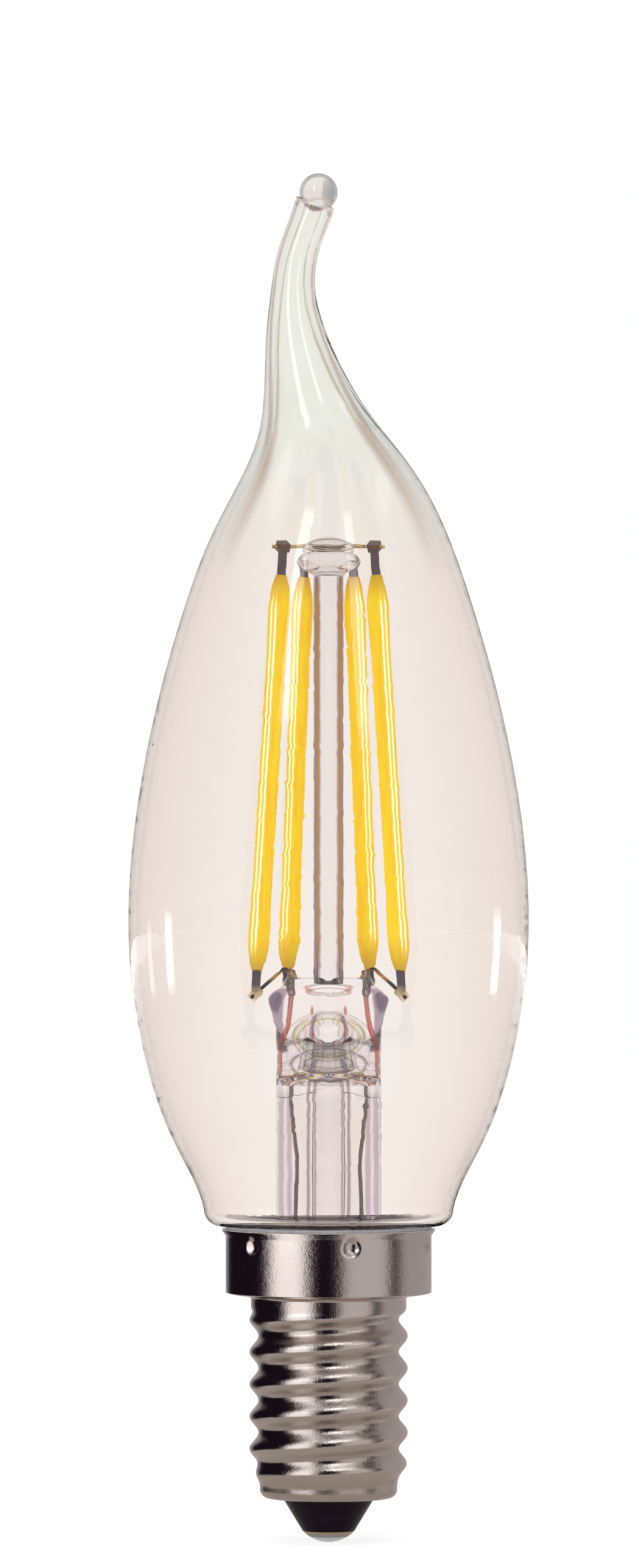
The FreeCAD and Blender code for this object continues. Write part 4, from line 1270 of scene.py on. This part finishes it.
def only_reflected(piece: bpy.types.Object, seen_on: bpy.types.Collection) -> None:
    """Show a card or the room to mirror rays alone, from chosen pieces.

    Args:
        piece: Card or room.
        seen_on: Pieces that reflect its light.
    """
    piece.visible_camera = False
    piece.visible_diffuse = False
    piece.visible_transmission = False
    piece.visible_shadow = False
    piece.visible_volume_scatter = False
    piece.light_linking.receiver_collection = seen_on


def pick(name: str, nodes: Iterable[bpy.types.Object]) -> bpy.types.Collection:
    """Group pieces that a lamp is for.

    Args:
        name: Name of the group.
        nodes: The pieces.

    Returns:
        The group.
    """
    group = bpy.data.collections.new(name)
    for node in nodes:
        group.objects.link(node)
    return group


@dataclass
class Card:
    """A card with a soft edge and a light of its own, which only reflections on chosen pieces show.

    Its angles are seen from the bulb's axis at the height it aims at. Sizes are in metres, and the edge is
    the share of its half width that fades.
    """

    name: str
    azimuth: float
    elevation: float
    width: float
    height: float
    strength: float
    distance: float = 1.0
    aim: float = 15 * MM
    colour: Colour = WHITE
    edge: float = 0.35

    def build(self, seen_on: bpy.types.Collection) -> None:
        """Hang the card.

        Args:
            seen_on: Pieces that reflect it.
        """
        shape = bmesh.new()
        bmesh.ops.create_grid(shape, x_segments=1, y_segments=1, size=0.5)
        card = stand(self.name, shape, self.material())
        look_back(card, direction(self.azimuth, self.elevation), self.distance, self.aim)
        card.scale = (self.width, self.height, 1.0)
        only_reflected(card, seen_on)

    def material(self) -> bpy.types.Material:
        """An even light that fades near the card's edge.

        Returns:
            The material.
        """
        graph = NodeGraph(self.name)
        place = graph.add("ShaderNodeTexCoord").outputs["Object"]
        parts = graph.add("ShaderNodeSeparateXYZ", {"Vector": place})
        shares = (
            graph.add("ShaderNodeMapRange", {
                "Value": graph.maths("ABSOLUTE", parts.outputs[name]),
                "From Min": 0.5,
                "From Max": 0.5 - 0.5 * self.edge,
            }, interpolation_type="SMOOTHSTEP").outputs["Result"]
            for name in "XY"
        )
        both = graph.maths("MULTIPLY", *shares)
        light = graph.glow(self.colour, graph.maths("MULTIPLY", both, self.strength))
        clear = graph.add("ShaderNodeBsdfTransparent").outputs[0]
        return graph.show(graph.either(both, clear, light))


@dataclass
class Room:
    """The dim room round the studio, with its dark sides, which only reflections on the cap show."""

    name: str = "room"
    size: float = 1.6
    dark: Colour = (0.012, 0.007, 0.013)
    wall: Colour = (0.47, 0.43, 0.435)
    window: Colour = (1.4, 1.36, 1.38)
    speckled: Colour = (0.66, 0.62, 0.62)
    blend: float = 2.5

    @property
    def sides(self) -> tuple[tuple[float, float, Colour, Colour], ...]:
        """The dark sides, each with its start, end and what lies before and after it."""
        return (
            (-157.0, -69.0, self.wall, self.window),
            (-26.0, 16.0, self.window, self.speckled),
            (72.0, 87.0, self.speckled, self.wall),
        )

    def turn(self, azimuth: float) -> float:
        """Where a direction meets the wall, which is far away.

        Args:
            azimuth: The direction, in degrees.

        Returns:
            Angle round the room, in degrees.
        """
        return azimuth

    def draw(self) -> bmesh.types.BMesh:
        """Draw the room as a ball round the stage.

        Returns:
            The drawn shape.
        """
        shape = bmesh.new()
        bmesh.ops.create_uvsphere(shape, u_segments=48, v_segments=24, radius=self.size)
        bmesh.ops.reverse_faces(shape, faces=shape.faces[:])
        return shape

    def build(self, seen_on: bpy.types.Collection) -> None:
        """Put the room round the stage.

        Args:
            seen_on: Pieces that reflect it.
        """
        only_reflected(stand(self.name, self.draw(), self.material()), seen_on)

    def material(self) -> bpy.types.Material:
        """Walls that change with the direction round the bulb.

        Returns:
            The material.
        """
        graph = NodeGraph(self.name)
        back = graph.maths("MULTIPLY", graph.axis("Y"), -1.0)
        round_share = graph.share(graph.maths("ARCTAN2", graph.axis("X"), back), -math.pi, math.pi)
        stops: list[Stop] = [(0.0, self.wall)]
        for low, high, before, after in self.sides:
            for azimuth, colour in (
                (low - self.blend, before),
                (low + self.blend, self.dark),
                (high - self.blend, self.dark),
                (high + self.blend, after),
            ):
                stops.append((self.turn(azimuth) / 360.0 + 0.5, colour))
        return graph.show(graph.glow(graph.ramp(round_share, stops)), found=False)


@dataclass
class Wrap(Room):
    """A low ring close round the cap that carries the room's light and dark below the level of its floor."""

    name: str = "wrap"
    size: float = 0.03
    height: float = 0.0275
    foot: float = 0.3 * MM
    mirror_radius: float = 0.009

    def draw(self) -> bmesh.types.BMesh:
        """Draw the ring round the cap.

        Returns:
            The drawn shape.
        """
        shape = bmesh.new()
        bmesh.ops.create_circle(shape, segments=96, radius=self.size)
        wall = bmesh.ops.extrude_edge_only(shape, edges=shape.edges[:])
        bmesh.ops.translate(shape, verts=points(wall), vec=(0.0, 0.0, self.height))
        bmesh.ops.translate(shape, verts=shape.verts[:], vec=(0.0, 0.0, self.foot))
        return shape

    def turn(self, azimuth: float) -> float:
        """Where a mirrored direction meets the ring.

        Args:
            azimuth: Direction that the cap's collar mirrors to the camera, in degrees.

        Returns:
            Angle round the ring, in degrees.
        """
        slant = self.mirror_radius * math.sin(math.radians(azimuth / 2)) / self.size
        return azimuth - math.degrees(math.asin(slant))


def points(made: Mapping[str, Sequence[object]]) -> list[bmesh.types.BMVert]:
    """Corners that a mesh operator has made.

    Args:
        made: Result of the operator.

    Returns:
        The corners.
    """
    return [item for item in made["geom"] if isinstance(item, bmesh.types.BMVert)]


@dataclass
class Cloth:
    """A cloth laid round the bulb, dim before it and pale behind it."""

    name: str = "ring_cloth"
    inner_radius: float = 0.03
    spread: float = 50.0
    height: float = 0.4 * MM
    dim: float = 0.08
    pale: float = 0.85
    pale_from: float = 50.0
    pale_to: float = 700.0

    def build(self, seen_on: bpy.types.Collection) -> None:
        """Lay the cloth.

        Args:
            seen_on: Pieces that reflect it.
        """
        shape = bmesh.new()
        bmesh.ops.create_circle(shape, segments=64, radius=self.inner_radius)
        wider = bmesh.ops.extrude_edge_only(shape, edges=shape.edges[:])
        bmesh.ops.scale(shape, verts=points(wider), vec=(self.spread, self.spread, 1.0))
        graph = NodeGraph(self.name)
        back = graph.share(graph.axis("Y"), self.pale_from, self.pale_to)
        light = graph.glow(WHITE, graph.levels(back, self.dim, self.pale))
        cloth = stand(self.name, shape, graph.show(light, found=False))
        cloth.location.z = self.height
        only_reflected(cloth, seen_on)


@dataclass
class Lamp:
    """An area lamp that looks at the bulb's axis at the height of its aim. Sizes are in metres.

    Its level is how bright it looks, where 1 is white. A mirrored lamp is met by mirror rays alone, and one
    that isn't found is only aimed at.
    """

    name: str
    azimuth: float
    elevation: float
    distance: float
    width: float
    height: float
    level: float
    aim: float = 60 * MM
    spread: float = 180.0
    mirrored: bool = False
    found: bool = True

    def build(self, lit: bpy.types.Collection | None = None) -> None:
        """Hang the lamp.

        Args:
            lit: Pieces that it lights and that mirror it, or all, which then don't mirror it.
        """
        data = bpy.data.lights.new(self.name, "AREA")
        data.shape = "RECTANGLE"
        data.size, data.size_y = self.width, self.height
        data.energy = self.level * 4.0 * self.width * self.height
        data.spread = math.radians(self.spread)
        data.cycles.use_multiple_importance_sampling = self.found
        lamp = bpy.data.objects.new(self.name, data)
        look_back(lamp, direction(self.azimuth, self.elevation), self.distance, self.aim)
        lamp.visible_camera = False
        lamp.visible_transmission = False
        lamp.visible_glossy = lit is not None
        lamp.visible_diffuse = not self.mirrored
        lamp.visible_volume_scatter = not self.mirrored
        if lit is not None:
            lamp.light_linking.receiver_collection = lit
        bpy.context.scene.collection.objects.link(lamp)


CAP_CARDS = (
    Card("window_left", -47.0, 16.0, 0.80, 1.05, 2.3),
    Card("window_right", 43.0, 28.0, 0.85, 0.60, 1.5, edge=0.8),
    Card("window_top", 15.0, 54.0, 0.62, 0.45, 3.0),
    Card("table", 0.0, -90.0, 0.058, 0.058, 0.46, distance=14.5 * MM, colour=(1.0, 0.88, 0.80), edge=0.2),
)
GLASS_CARDS = (
    Card("neck_left", -28.0, 28.0, 0.026, 0.10, 4.5, distance=0.12, aim=103 * MM, edge=0.3),
    Card("neck_right", 22.0, 28.0, 0.020, 0.10, 3.5, distance=0.12, aim=98 * MM, edge=0.3),
    Card("streak_left", -102.9, 0.0, 0.050, 0.072, 4.4, distance=0.3, aim=29 * MM, edge=0.5),
    Card("streak_thin", -123.6, 0.0, 0.046, 0.062, 2.0, distance=0.3, aim=29 * MM, edge=0.6),
    Card("streak_right", 111.0, 0.0, 0.056, 0.072, 4.0, distance=0.3, aim=29 * MM, edge=0.5),
    Card("shoulder_left", -86.0, 47.0, 0.75, 0.30, 1.3, aim=90 * MM, edge=0.8),
    Card("shoulder_right", 86.0, 47.0, 0.75, 0.30, 1.3, aim=90 * MM, edge=0.8),
)
HALL_LAMPS = tuple(
    Lamp(f"hall_{number + 1}", turn, 0.0, 0.8, 1.16, 1.3, 0.06, aim=0.35, spread=80.0, mirrored=True)
    for number, turn in enumerate((-135.0, 135.0, 180.0))
)
SHINE_LAMPS = {
    side: tuple(
        Lamp(
            f"shine_{side.word}_{number + 1}", side.value * turn, 0.0, 0.6, 0.03, 0.3, 700.0,
            aim=67 * MM, mirrored=True, found=False,
        )
        for number, turn in enumerate((34.0, 86.0))
    )
    for side in Side
}
STRIP_LAMPS = (
    Lamp("strip_left", -38.0, 8.0, 0.7, 0.03, 0.5, 15.0),
    Lamp("strip_right", 38.0, 8.0, 0.7, 0.03, 0.5, 15.0),
)
SOFT_LAMPS = (
    Lamp("front_soft", -28.0, 35.0, 0.9, 0.55, 0.55, 1.98347),
    Lamp("top_soft", 20.0, 72.0, 0.9, 0.5, 0.5, 2.0),
)


@dataclass
class Studio:
    """Camera, floor, world, soft lamps and the cards that shiny pieces reflect."""

    nodes: Mapping[str, bpy.types.Object]
    camera_distance: float = 0.8
    camera_x: float = -1.145 * MM
    camera_z: float = 66.32 * MM
    lens: float = 209.9
    sensor: float = 36.0
    view_end: float = 50.0
    floor_size: float = 12.0
    floor_paint: Colour = (0.9, 0.9, 0.9)
    floor_glow: float = 1.16
    floor_shading: float = 0.3
    world_light: float = 0.75
    rays_deep: int = 32
    mirrors_deep: int = 8

    def build(self) -> None:
        """Set up the whole stage."""
        self.camera()
        self.floor()
        self.world()
        self.reflections()
        self.lamps()
        self.bounces()
        bpy.context.scene.view_settings.view_transform = "Standard"

    def reflections(self) -> None:
        """Put up what the cap and the glass mirror."""
        names = ("cap_sheet", "cap_insulator", "centre_contact")
        cap = pick("cap_pieces", (self.nodes[name] for name in names))
        glass = pick("blown_pieces", (self.nodes["glass_envelope"],))
        Room().build(cap)
        Wrap().build(cap)
        for cards, seen_on in ((CAP_CARDS, cap), (GLASS_CARDS, glass)):
            for card in cards:
                card.build(seen_on)
        Cloth().build(glass)
        for lamp in HALL_LAMPS:
            lamp.build(glass)

    def lamps(self) -> None:
        """Hang the lamps that draw lines on the coats, and those that light the bulb."""
        outside = ("cap_shell", "cap_sheet", "glass_envelope")
        inner = pick("inner_pieces", (node for name, node in self.nodes.items() if name not in outside))
        for side in Side:
            names = (f"filament_coat_{rank.value}_{side.word}" for rank in Rank)
            coats = pick(f"coats_{side.word}", (self.nodes[name] for name in names))
            for lamp in SHINE_LAMPS[side]:
                lamp.build(coats)
        for lamp in STRIP_LAMPS:
            lamp.build(inner)
        for lamp in SOFT_LAMPS:
            lamp.build()

    def camera(self) -> None:
        """Stand the camera level, straight before the bulb."""
        data = bpy.data.cameras.new("photo_camera")
        data.sensor_width = self.sensor
        data.lens = self.lens
        data.clip_end = self.view_end
        camera = bpy.data.objects.new("photo_camera", data)
        camera.location = (self.camera_x, -self.camera_distance, self.camera_z)
        camera.rotation_euler = (math.pi / 2, 0.0, 0.0)
        bpy.context.scene.collection.objects.link(camera)
        bpy.context.scene.camera = camera

    def floor(self) -> None:
        """Lay a plain pale floor: white where it is seen, with part of the shading kept for the shadow."""
        shape = bmesh.new()
        bmesh.ops.create_grid(shape, x_segments=1, y_segments=1, size=self.floor_size / 2)
        graph = NodeGraph("floor_white")
        paint = graph.add("ShaderNodeBsdfDiffuse", {"Color": self.floor_paint}).outputs[0]
        seen = graph.either(self.floor_shading, graph.glow(WHITE, self.floor_glow), paint)
        stand("floor", shape, graph.show(graph.either(graph.seen_rays(), paint, seen)))

    def world(self) -> None:
        """White all round where it is seen, and a plain level of light elsewhere."""
        world = bpy.data.worlds.new("studio")
        bpy.context.scene.world = world
        graph = NodeGraph("studio", world)
        strength = graph.levels(graph.seen_rays(), self.world_light, 1.0)
        graph.show(graph.add("ShaderNodeBackground", {"Color": WHITE, "Strength": strength}).outputs[0])

    def bounces(self) -> None:
        """Let rays through all the walls of glass inside each other."""
        cycles = bpy.context.scene.cycles
        cycles.max_bounces = self.rays_deep
        cycles.transmission_bounces = self.rays_deep
        cycles.transparent_max_bounces = self.rays_deep
        cycles.glossy_bounces = self.mirrors_deep


def main() -> None:
    """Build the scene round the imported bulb."""
    logging.basicConfig(level=logging.INFO, format="%(message)s")
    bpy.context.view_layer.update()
    dresser = Dresser(dict(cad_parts))
    for assembly in (BlownGlass(), GlassStem(), LightSource(), Wires(), ScrewCap(), Driver()):
        assembly.dress(dresser)
    Studio(dresser.nodes).build()


if __name__ == "__main__":
    main()
